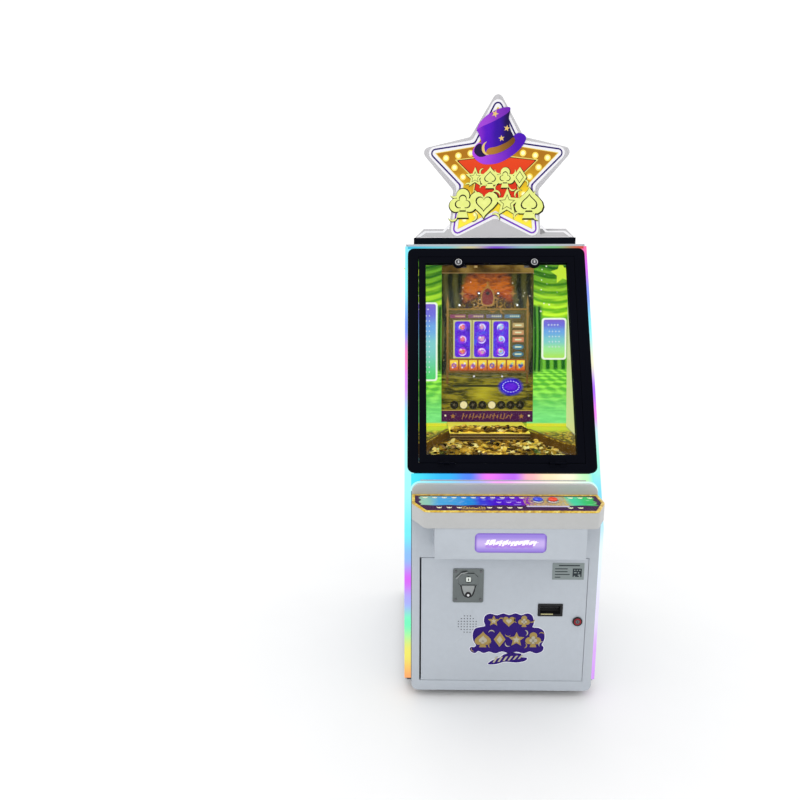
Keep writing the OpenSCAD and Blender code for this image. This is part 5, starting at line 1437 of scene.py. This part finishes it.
    def display(self):
        """Display with three reels, a row of prize boxes and score bars."""
        glow = Paint("screen", (0.05, 0.04, 0.02), 0.12, 0.0, 0.08)
        back = glow.mix(glow.noise(40.0, 3.0), (0.05, 0.05, 0.015), (0.16, 0.12, 0.02))
        glow.backlit(back, 0.8, 0.9)
        casing("display_panel", glow.material, 0.0005)
        z0 = -0.003

        def lit(name, low, high, span, strength=0.9, axis=2):
            return shaded(name, low, high, axis, span, 0.3, strength)

        top = WALL.translation.z
        reel = Paint("reel_violet", (0.1, 0.02, 0.5), 0.3, 0.0, 0.06)
        swirl = reel.noise(26.0, 3.0, 0.6)
        field = reel.ramp(swirl, [(0.25, (0.035, 0.003, 0.35)), (0.5, (0.10, 0.008, 0.70)),
                                  (0.75, (0.05, 0.09, 0.80))])
        reel.backlit(field, 0.8, 0.9)
        frames, fields, icons_a, icons_b, icons_c, icons_d = [], [], [], [], [], []
        centres = (-0.107, -0.0245, 0.058)
        for x in centres:
            frames.append(block(x - 0.0395, x + 0.0395, 0.274, 0.438, z0, z0 + 0.0010))
            fields.append(outline(rounded_corners(corners(x - 0.033, x + 0.033, 0.279, 0.433), 0.010),
                                  z0 + 0.001, z0 + 0.0018))
            for k, s in enumerate((0.303, 0.356, 0.408)):
                pick = (k * 2 + int(x * 100)) % 5
                icons_a.append(disc(x, s, 0.0190, z0 + 0.0018, z0 + 0.0022, 24))
                icons_b.append((heart, star, diamond, club, spade)[pick](x - 0.001, s + 0.002, 0.0135,
                                                                         z0 + 0.0022, z0 + 0.0026))
                icons_c.append((ring, disc)[pick % 2](*((x, s, 0.004, 0.010, z0 + 0.0024, z0 + 0.0032,
                                                         16) if pick % 2 == 0
                                                       else (x + 0.004, s - 0.003, 0.0065, z0 + 0.0026,
                                                             z0 + 0.0032, 16))))
                icons_d.append(star(x - 0.006, s + 0.008, 0.0055, z0 + 0.0026, z0 + 0.0034, 0.5, 4))
                icons_d.append(crescent(x, s - 0.002, 0.0165, z0 + 0.0022, z0 + 0.0030, 200 + 50 * pick, 0.3))
        self.put(join(frames, "f"), "reel_frames", printed("reel_frame", (0.62, 0.62, 0.22), 0.3, 0.75),
                 "screen")
        self.put(join(fields, "f"), "reel_fields", reel.material, "screen")
        self.put(join(icons_a, "a"), "reel_glows", lit("reel_glow", (0.30, 0.015, 0.70), (0.12, 0.03, 0.72),
                                                       (top + 0.28, top + 0.44), 0.9), "screen")
        hot = Paint("reel_icons", (0.3, 0.1, 0.2), 0.3, 0.0, 0.06)
        patch = hot.ramp(hot.noise(48.0, 1.0), [(0.30, (0.10, 0.22, 0.80)), (0.42, (0.80, 0.10, 0.60)),
                                                (0.52, (0.85, 0.40, 0.70)),
                                               (0.60, (0.75, 0.16, 0.05)), (0.70, (0.30, 0.65, 0.10))])
        hot.backlit(patch, 0.8, 0.9)
        self.put(join(icons_b, "b"), "reel_icons", hot.material, "screen")
        self.put(join(icons_c, "c"), "reel_candies", lit("reel_candy", (0.75, 0.14, 0.08), (0.20, 0.55, 0.85),
                                                         (-0.12, 0.08), 0.9, 0), "screen")
        self.put(join(icons_d, "d"), "reel_glints", lit("reel_glint", (0.80, 0.62, 0.85), (0.65, 0.80, 0.95),
                                                        (-0.12, 0.08), 0.9, 0), "screen")
        boxes, rims, items, items2 = [], [], [], []
        for i in range(8):
            x = -0.143 + i * 0.0409
            rims.append(block(x - 0.0196, x + 0.0196, 0.221, 0.270, z0, z0 + 0.001))
            boxes.append(block(x - 0.0172, x + 0.0172, 0.2245, 0.266, z0 + 0.001, z0 + 0.0016))
            kind = (disc, heart, club, spade, disc, diamond, star, heart)[i]
            if kind is disc:
                items.append(ring(x, 0.243, 0.004, 0.011, z0 + 0.0016, z0 + 0.0026, 18))
            else:
                items.append(kind(x, 0.242, 0.011, z0 + 0.0016, z0 + 0.0024))
            items2.append(disc(x + 0.005, 0.252, 0.0045, z0 + 0.0016, z0 + 0.0024, 14))
            items2.append(star(x - 0.006, 0.234, 0.005, z0 + 0.0022, z0 + 0.0028))
        self.put(join(rims, "r"), "prize_rims", printed("prize_red", (0.42, 0.05, 0.008), 0.3, 0.75), "screen")
        self.put(join(boxes, "b"), "prize_boxes", lit("prize_yellow", (0.62, 0.12, 0.01), (0.86, 0.66, 0.05),
                                                      (top + 0.226, top + 0.256), 0.9), "screen")
        self.put(join(items, "i"), "prize_items", lit("prize_item", (0.40, 0.10, 0.42), (0.08, 0.09, 0.40),
                                                      (-0.15, 0.15), 0.75, 0), "screen")
        self.put(join(items2, "j"), "prize_bits", lit("prize_bit", (0.95, 0.9, 0.95), (0.3, 0.7, 0.4),
                                                      (-0.15, 0.15), 0.7, 0), "screen")
        bars = [block(-0.157, 0.160, 0.443, 0.4655, z0, z0 + 0.0008),
                block(0.104, 0.160, 0.274, 0.438, z0, z0 + 0.0008)]
        self.put(join(bars, "b"), "score_bars", printed("score_dark", (0.10, 0.07, 0.015), 0.3, 0.75), "screen")
        cells, dots, warm = [], [], []
        for i in range(4):
            x = -0.127 + i * 0.078
            cells.append(outline(rounded_corners(corners(x - 0.034, x + 0.034, 0.447, 0.462), 0.004, 3),
                                 z0 + 0.0008, z0 + 0.0012))
            for k in range(5):
                dots.append(diamond(x - 0.008 + k * 0.0085, 0.4545, 0.0045, z0 + 0.0012, z0 + 0.0018))
        for k in range(5):
            s = 0.292 + k * 0.031
            if k < 2:
                cells.append(outline([(0.132 + 0.024 * math.cos(a / 8 * math.pi),
                                       s + 0.0115 * math.sin(a / 8 * math.pi))
                                      for a in range(16)], z0 + 0.0008, z0 + 0.0014))
            else:
                warm.append(block(0.108, 0.156, s - 0.010, s + 0.010, z0 + 0.0008, z0 + 0.0014))
            dots.append(block(0.118, 0.146, s - 0.003, s + 0.003, z0 + 0.0014, z0 + 0.0018))
        self.put(join(warm, "w"), "score_warm", lit("score_warm", (0.65, 0.22, 0.10), (0.50, 0.38, 0.14),
                                                    (top + 0.33, top + 0.43), 0.8), "screen")
        self.put(join(cells, "c"), "score_cells", lit("score_cell", (0.25, 0.05, 0.12), (0.05, 0.2, 0.3),
                                                      (-0.15, 0.16), 0.8, 0), "screen")
        self.put(join(dots, "d"), "score_marks", lit("score_mark", (0.80, 0.55, 0.22), (0.72, 0.78, 0.5),
                                                     (-0.15, 0.16), 0.8, 0), "screen")

    def pillars(self):
        """Gilt pillars, pelmet and shelf painted round the display."""
        gold = shaded("pillar_gold", (0.16, 0.07, 0.010), (0.34, 0.19, 0.03), 2, (1.0, 1.4), 0.3, 0.6)
        parts = []
        for m in (-1, 1):
            x = m * 0.1715
            parts.append(block(x - 0.004, x + 0.004, 0.165, 0.52, 0.0, 0.0022, 0.0008))
            for s in (0.165, 0.215, 0.30, 0.385, 0.455, 0.50):
                parts.append(block(x - 0.0065, x + 0.0065, s, s + 0.008, 0.0, 0.0032, 0.001))
            parts.append(outline([(x - 0.003, 0.52), (x + 0.003, 0.52), (x, 0.545)], 0.0, 0.002))
        parts.append(block(-0.168, 0.168, 0.2125, 0.2195, 0.0, 0.0022, 0.0008))
        parts.append(block(-0.168, 0.168, 0.4815, 0.4875, 0.0, 0.0022, 0.0008))
        self.put(join(parts, "p"), "gilt_pillars", gold, "gilt")
        olive = printed("swirl_olive", (0.20, 0.18, 0.08), 0.4, 0.7)
        curve = []
        for k in range(13):
            t = -1 + k / 6
            curve.append((t * 0.110 - 0.025, 0.188 + 0.009 * t * t))
        lines = [outline(curve + [(x, s + 0.0022) for x, s in reversed(curve)], 0.0, 0.0006)]
        upper = [(x * 0.96, s + 0.012) for x, s in curve]
        lines.append(outline(upper + [(x, s + 0.0018) for x, s in reversed(upper)], 0.0, 0.0006))
        self.put(join(lines, "l"), "swirl_lines", olive, "board_print")
        slot = outline(corners(-0.147, 0.060, 0.1525, 0.1575), 0.0, 0.0007)
        self.put(slot, "slot_line", printed("slot_ink", (0.004, 0.004, 0.003), 0.4), "board_print")

    def throne(self):
        """Ornate chair with a lamp on either side, on its heap of gold."""
        gold = printed("throne_gold", (0.42, 0.20, 0.03), 0.3, 0.75)
        dark = printed("throne_dark", (0.035, 0.012, 0.014), 0.4, 0.5)
        red = printed("throne_red", (0.22, 0.018, 0.012), 0.35, 0.7)
        y0 = 0.500
        back = flowing([(-0.022, y0), (0.022, y0), (0.030, y0 + 0.03), (0.026, y0 + 0.062), (0.014, y0 + 0.072),
                        (0.0, y0 + 0.092), (-0.014, y0 + 0.072), (-0.026, y0 + 0.062), (-0.030, y0 + 0.03)], 3)
        self.put(outline(back, 0.0, 0.0010), "throne_back", gold, "gilt")
        seat = flowing([(-0.017, y0 + 0.006), (0.017, y0 + 0.006), (0.024, y0 + 0.032), (0.019, y0 + 0.058),
                        (0.0, y0 + 0.074), (-0.019, y0 + 0.058), (-0.024, y0 + 0.032)], 3)
        self.put(outline(seat, 0.0010, 0.0016), "throne_seat", red, "red_plastic")
        extras = [star(0.0, y0 + 0.096, 0.010, 0.0, 0.0014, 0.4, 4)]
        shade = [disc(0.0, y0 + 0.052, 0.0085, 0.0016, 0.0024, 18)]
        for m in (-1, 1):
            extras += [crescent(m * 0.034, y0 + 0.020, 0.015, 0.0, 0.0014, 90 - 90 * m, 0.35),
                       crescent(m * 0.052, y0 + 0.004, 0.013, 0.0, 0.0014, 200, 0.35),
                       crescent(m * 0.022, y0 - 0.016, 0.014, 0.0, 0.0012, 20 + 150 * (m > 0), 0.35),
                       crescent(m * 0.066, y0 - 0.022, 0.012, 0.0, 0.0012, 120 * (m > 0), 0.4),
                       block(m * 0.040 - 0.0014, m * 0.040 + 0.0014, y0 - 0.008, y0 + 0.030, 0.0, 0.0014),
                       star(m * 0.108, 0.551, 0.016, 0.0, 0.0012, 0.3, 4)]
            shade += [diamond(m * 0.047, y0 - 0.010, 0.008, 0.0, 0.0010),
                      club(m * 0.088, y0 - 0.008, 0.010, 0.0, 0.0010)]
        self.put(join(extras, "e"), "throne_ornaments", gold, "gilt")
        self.put(join(shade, "e"), "throne_shades", dark, "board_print")
        heads = [disc(m * px, ps, 0.0075, 0.0282, 0.0305, 20, 0.0007) for px,
                 ps in COVER_SCREWS[:1] for m in (-1, 1)]
        self.put(join(heads, "h"), "cover_washers", FINISH["black_plastic"], "black_plastic")
        pins = [disc(m * px, ps, 0.0042, 0.0282, 0.0312, 18, 0.0008)
                for px, ps in COVER_SCREWS for m in (-1, 1)]
        for o in pins[:2]:
            o.location.z += 0.0016
            settle(o)
        self.put(join(pins, "p"), "cover_screws", FINISH["chrome"], "bright_steel")

    def target(self):
        """Oval target on its carriage with a ring of lamps in a blue glow."""
        casing("target_carriage", shaded("target_violet", (0.030, 0.004, 0.62), (0.05, 0.006, 0.55), 0,
                                         (0.06, 0.14), 0.25, 0.75), 0.0012)
        white = lamp("target_lamps", (0.85, 0.85, 1), (1, 1, 1), 1.1, 200.0)
        cx, cs = TARGET_X, TARGET_S
        lamps = []
        for i in range(18):
            a = 2 * math.pi * (i + 0.5) / 18
            lamps.append(disc(cx + 0.035 * math.cos(a), cs + 0.0235 * math.sin(a), 0.0017, 0.010, 0.0115, 12))
        self.put(join(lamps, "l"), "target_lamp_ring", white, "lit_window", "target")
        core = outline([(cx + 0.026 * math.cos(a / 14 * math.pi), cs + 0.015 * math.sin(a / 14 * math.pi))
                        for a in range(28)], 0.010, 0.0108)
        self.put(core, "target_core", printed("target_core", (0.10, 0.004, 0.62), 0.3, 0.9), "target_plastic",
                 "target")
        halo = Paint("target_glow", (0.01, 0.01, 0.2), 0.5, 0.0, 0.0)
        x, _, z = halo.xyz()
        c = WALL @ Vector((cx, cs, 0.0015))
        u = (x - c.x) / 0.060
        v = (z - c.z) / 0.044
        away = halo.root(u * u + v * v)
        halo.set("Alpha", 0.85 * (1.0 - halo.step(away, 0.45, 1.0)))
        halo.glow(halo.mix(halo.noise(30.0), (0.012, 0.006, 0.60), (0.035, 0.012, 0.70)), 0.9)
        sheet = outline([(cx + 0.060 * math.cos(a / 14 * math.pi), cs + 0.044 * math.sin(a / 14 * math.pi))
                         for a in range(28)], 0.0030, 0.0034)
        self.put(sheet, "target_halo", halo.material, "target_plastic", "target")

    def placards(self):
        """Two rule cards: white border, sky gradient, rows of generic dots, and corner stars."""
        border = lamp("placard_white", (0.80, 0.92, 0.70), (0.92, 0.96, 0.90), 0.85)
        rims, fields, marks = [], [], []
        for x, s, w, h in ((-0.27035, 0.345, 0.112, 0.339), (0.28635, 0.358, 0.106, 0.179)):
            z = -0.0080
            pts = corners(x - w / 2, x + w / 2, s - h / 2, s + h / 2)
            rims.append(outline(rounded_corners(pts, 0.013), z, z + 0.0045, 0.0006))
            k = 0.0075
            pts = corners(x - w / 2 + k, x + w / 2 - k, s - h / 2 + k, s + h / 2 - k)
            fields.append(outline(rounded_corners(pts, 0.009), z + 0.0045, z + 0.005))
            for i in range(4):
                marks.append(star(x - 0.024 + i * 0.013, s + h / 2 - 0.030, 0.005, z + 0.005, z + 0.0055, 0.5,
                                  4))
            for r in range(int((h - 0.07) / 0.022)):
                for i in range(4):
                    marks.append(diamond(x - 0.021 + i * 0.014, s + h / 2 - 0.058 - r * 0.022, 0.0042,
                                         z + 0.005, z + 0.0055))
        self.put(join(rims, "r"), "placard_rims", border, "placard_print", "cabinet", "placards")
        sky = Paint("placard_sky", (0.2, 0.3, 0.4), 0.3, 0.0, 0.06)
        x, _, z = sky.xyz()
        s = (z - WALL.translation.z) / math.cos(WALL_TILT)
        right = (s - 0.276) / 0.164
        left = (s - 0.183) / 0.324
        stops = [(0.0, (0.42, 0.80, 0.12)), (0.22, (0.35, 0.82, 0.30)), (0.45, (0.22, 0.62, 0.62)),
                 (0.68, (0.16, 0.40, 0.80)),
                 (0.88, (0.17, 0.16, 0.74)), (1.0, (0.22, 0.14, 0.66))]
        field = sky.mix(x > 0.0, sky.ramp(left, [(0.0, (0.10, 0.66, 0.16))] + stops[2:]),
                        sky.ramp(right, stops))
        sky.backlit(field, 0.8, 0.85)
        self.put(join(fields, "f"), "placard_fields", sky.material, "placard_print")
        self.put(join(marks, "m"), "placard_marks", printed("placard_mark", (0.70, 0.80, 0.82), 0.3, 0.7),
                 "placard_print")
        stars = [star(m * 0.318, 0.640, 0.048, -0.0080, -0.0050, 0.5, 5, 10 * m) for m in (-1, 1)]
        self.put(join(stars, "s"), "corner_stars", printed("corner_star", (0.62, 0.86, 0.05), 0.3, 0.85),
                 "wall_print")


class PUSHER_OT_coins(Piece):
    """Pusher, bed, side decks and the heaps of tokens"""
    bl_idname = "pusher.coins"
    bl_label = "Coins"

    def token(self):
        """One token: a low drum with a raised rim."""
        r = looks().coin_radius
        deselect()
        bpy.ops.mesh.primitive_cylinder_add(vertices=14, radius=r, depth=0.0019, location=(0, 0, 0))
        obj = bpy.context.object
        bpy.ops.object.mode_set(mode="EDIT")
        bpy.ops.mesh.select_all(action="DESELECT")
        bpy.ops.object.mode_set(mode="OBJECT")
        for face in obj.data.polygons:
            face.select = abs(face.normal.z) > 0.9
        bpy.ops.object.mode_set(mode="EDIT")
        bpy.ops.mesh.select_mode(type="FACE")
        bpy.ops.mesh.inset(thickness=r * 0.14, depth=0)
        bpy.ops.mesh.inset(thickness=r * 0.05, depth=-0.0004)
        bpy.ops.object.mode_set(mode="OBJECT")
        return smooth(obj, 40)

    def heap(self, seed, count, inside, z0, depth):
        """Tokens strewn over an area: flat at the bottom, tilted and overlapping on top."""
        rnd = random.Random(seed)
        model = self.token()
        out = []
        tries = 0
        while len(out) < count and tries < count * 30:
            tries += 1
            x, y, ok = inside(rnd)
            if not ok:
                continue
            layer = rnd.random() ** 0.6
            tilt = rnd.gauss(0, 9 + 10 * layer)
            spin = rnd.uniform(0, 360)
            z = z0 + 0.0012 + layer * depth + abs(math.sin(math.radians(tilt))) * 0.006
            place = (Matrix.Translation((x, y, z)) @ Matrix.Rotation(math.radians(spin), 4, "Z")
                     @ Matrix.Rotation(math.radians(tilt), 4, "X"))
            copy = model.copy()
            copy.data = model.data.copy()
            copy.data.transform(place)
            bpy.context.scene.collection.objects.link(copy)
            out.append(copy)
        bpy.data.objects.remove(model)
        return join(out, "heap")

    def execute(self, context):
        f = FINISH
        cfg = looks()
        gold_deck = Paint("side_deck_print", (0.6, 0.45, 0.1), 0.3, 0.0, 0.1)
        x, y, z = gold_deck.xyz()
        leaf = gold_deck.cells(34.0)
        mottle = gold_deck.noise(28.0, 4.0, 0.6)
        scale = gold_deck.ramp(mottle * 0.7 + leaf * 0.6, [(0.3, (0.05, 0.035, 0.004)),
                                                           (0.5, (0.46, 0.28, 0.02)),
                                                          (0.68, (0.78, 0.58, 0.05)),
                                                          (0.85, (0.42, 0.14, 0.015))])
        coin_print = gold_deck.step(gold_deck.cells(62.0), 0.42, 0.56)
        scale = gold_deck.mix(coin_print * 0.85, scale, (0.035, 0.018, 0.003))
        lawn = gold_deck.mix(mottle, (0.70, 0.66, 0.03), (0.42, 0.72, 0.05))
        back = gold_deck.step(y + mottle * 0.04, 0.17, 0.24)
        art = gold_deck.mix(back, scale, lawn)
        # faces below the deck top are dark brown: painted shadow on the drop to the bed
        side = 1.0 - gold_deck.step(z, BED_HI.z + 0.036, BED_HI.z + 0.0405)
        art = gold_deck.mix(side, art, gold_deck.mix(mottle, (0.025, 0.012, 0.002), (0.20, 0.10, 0.012)))
        gold_deck.backlit(art, 0.5, 0.5)
        casing("side_decks", gold_deck.material, 0.0015)
        casing("bed_plate", f["aluminium"], 0.0008)
        step = BED_HI.z + 0.042
        push_y = PUSH_LO.y
        half = (PUSH_HI.x - PUSH_LO.x) / 2
        guide_y = push_y + 0.063
        mouth_y = guide_y - 0.212

        def spread(y):
            if y > guide_y:
                return half
            return half + 0.102 * (guide_y - y) / 0.212

        def on_bed(rnd):
            y = rnd.uniform(BED_LO.y + 0.012, push_y - 0.010)
            w = min(spread(y) - 0.013, 0.255)
            x = rnd.uniform(-w, w)
            return x, y, True

        def on_pusher(rnd):
            return rnd.uniform(-half + 0.013, half - 0.013), push_y + 0.010 + 0.075 * rnd.random() ** 1.3, True

        bed = self.heap(11, cfg.bed_coins, on_bed, BED_HI.z, 0.010)
        dress(bed, "bed_tokens", f["coins"], "cabinet", "coin_brass", "bed_coins")
        top = self.heap(12, cfg.pusher_coins, on_pusher, step, 0.007)
        dress(top, "pusher_tokens", f["coins"], "pusher", "coin_brass")
        self.pusher(step, half, push_y)
        self.guides(step, spread, guide_y, mouth_y)
        return {"FINISHED"}

    def pusher(self, step, half, push_y):
        """Folded metal box with stepped front, on its lug and pin; its front carries dark and light stripes as
        painted shade and highlight of the folds, and its top edge a glowing gold painted highlight.
        """
        z0 = BED_HI.z + 0.0005
        shell = [block(-half, half, push_y, push_y + 0.2, z0, step, 0.0015),
                 block(-half + 0.001, half - 0.001, push_y - 0.0012, push_y, step - 0.007, step - 0.001,
                       0.0005),
                 block(-half + 0.001, half - 0.001, push_y - 0.0012, push_y, step - 0.024, step - 0.019,
                       0.0005),
                 block(-0.012, 0.012, push_y + 0.17, push_y + 0.194, PUSH_LO.z + 0.014, z0 + 0.002, 0.001),
                 disc(0, push_y + 0.182, 0.006, PUSH_LO.z + 0.002, PUSH_LO.z + 0.016, 24),
                 disc(0, push_y + 0.182, 0.010, PUSH_LO.z, PUSH_LO.z + 0.0035, 24, 0.0006)]
        steel = Paint("pusher_steel", (0.2, 0.14, 0.05), 0.3, 0.3, 0.3)
        z = steel.xyz()[2]
        # dark and light stripes up the front: painted shade and highlight of the folds
        folds = steel.step(steel.sin((z - z0) * 520.0), -0.4, 0.5)
        plate = steel.mix(folds, (0.035, 0.020, 0.006), (0.34, 0.24, 0.09))
        # top edge: bright gold painted highlight
        painted_top_highlight = steel.mix(steel.noise(30.0), (0.70, 0.52, 0.04), (0.86, 0.74, 0.10))
        art = steel.mix(steel.step(z, step - 0.002, step - 0.0005), plate, painted_top_highlight)
        steel.set("Base Color", art)
        # glow, strongest on the top edge: painted light, the pusher is no lamp
        steel.glow(steel.mix(steel.step(z, step - 0.002, step - 0.0005), (0.02, 0.012, 0.003), painted_top_highlight), 0.8)
        dress(join(shell, "p"), "pusher_box", steel.material, "pusher", "bare_aluminium", "pusher")

    def guides(self, step, spread, guide_y, mouth_y):
        """Printed rails along the flaring edges of the side decks."""
        rails = []
        for m in (-1, 1):
            pts = [(m * (spread(guide_y) + 0.001), guide_y), (m * (spread(mouth_y) + 0.001), mouth_y),
                   (m * (spread(mouth_y) + 0.016), mouth_y - 0.004),
                   (m * (spread(guide_y) + 0.012), guide_y + 0.002)]
            if m > 0:
                pts = pts[::-1]
            rails.append(outline(pts, step, step + 0.003, 0.0008))
        dress(join(rails, "g"), "deck_rails", printed("rail_bronze", (0.16, 0.085, 0.02), 0.3, 0.3), "cabinet",
              "gilt")


class PUSHER_OT_inside(Piece):
    """Drive, coin path and electrics inside the cabinet"""
    bl_idname = "pusher.inside"
    bl_label = "Inside"

    def execute(self, context):
        f = FINISH
        for node, finish, width in (
                ("pusher_motor", "enamel", 0.0015), ("crank_disc", "zinc", 0.0008),
                ("connecting_rod", "zinc", 0.0008),
                ("coin_chute", "zinc", 0.0006), ("coin_hopper", "black_plastic", 0.0012),
                ("hopper_disc", "aluminium", 0.0006),
                ("coin_lift", "zinc", 0.0008), ("power_supply", "zinc", 0.001),
                ("main_board", "circuit", 0.0003)):
            casing(node, f[finish], width)
        return {"FINISHED"}


OPERATORS = (PUSHER_OT_stage, PUSHER_OT_cabinet, PUSHER_OT_front, PUSHER_OT_deck, PUSHER_OT_service_door,
             PUSHER_OT_sloping_front, PUSHER_OT_edge_lights, PUSHER_OT_sign, PUSHER_OT_playfield,
             PUSHER_OT_coins, PUSHER_OT_inside)


class PUSHER_PT_panel(Panel):
    bl_label = "Coin pusher"
    bl_space_type = "VIEW_3D"
    bl_region_type = "UI"
    bl_category = "Coin pusher"

    def draw(self, context):
        for name in PusherLooks.__annotations__:
            self.layout.prop(context.scene.pusher_looks, name)
        for op in OPERATORS:
            self.layout.operator(op.bl_idname)


CLASSES = (PusherLooks, *OPERATORS, PUSHER_PT_panel)


def register():
    for cls in CLASSES:
        bpy.utils.register_class(cls)
    bpy.types.Scene.pusher_looks = PointerProperty(type=PusherLooks)


def unregister():
    del bpy.types.Scene.pusher_looks
    for cls in reversed(CLASSES):
        bpy.utils.unregister_class(cls)


def main():
    register()
    finishes()
    for op in OPERATORS:
        group, name = op.bl_idname.split(".")
        getattr(getattr(bpy.ops, group), name)()


if __name__ == "__main__":
    main()
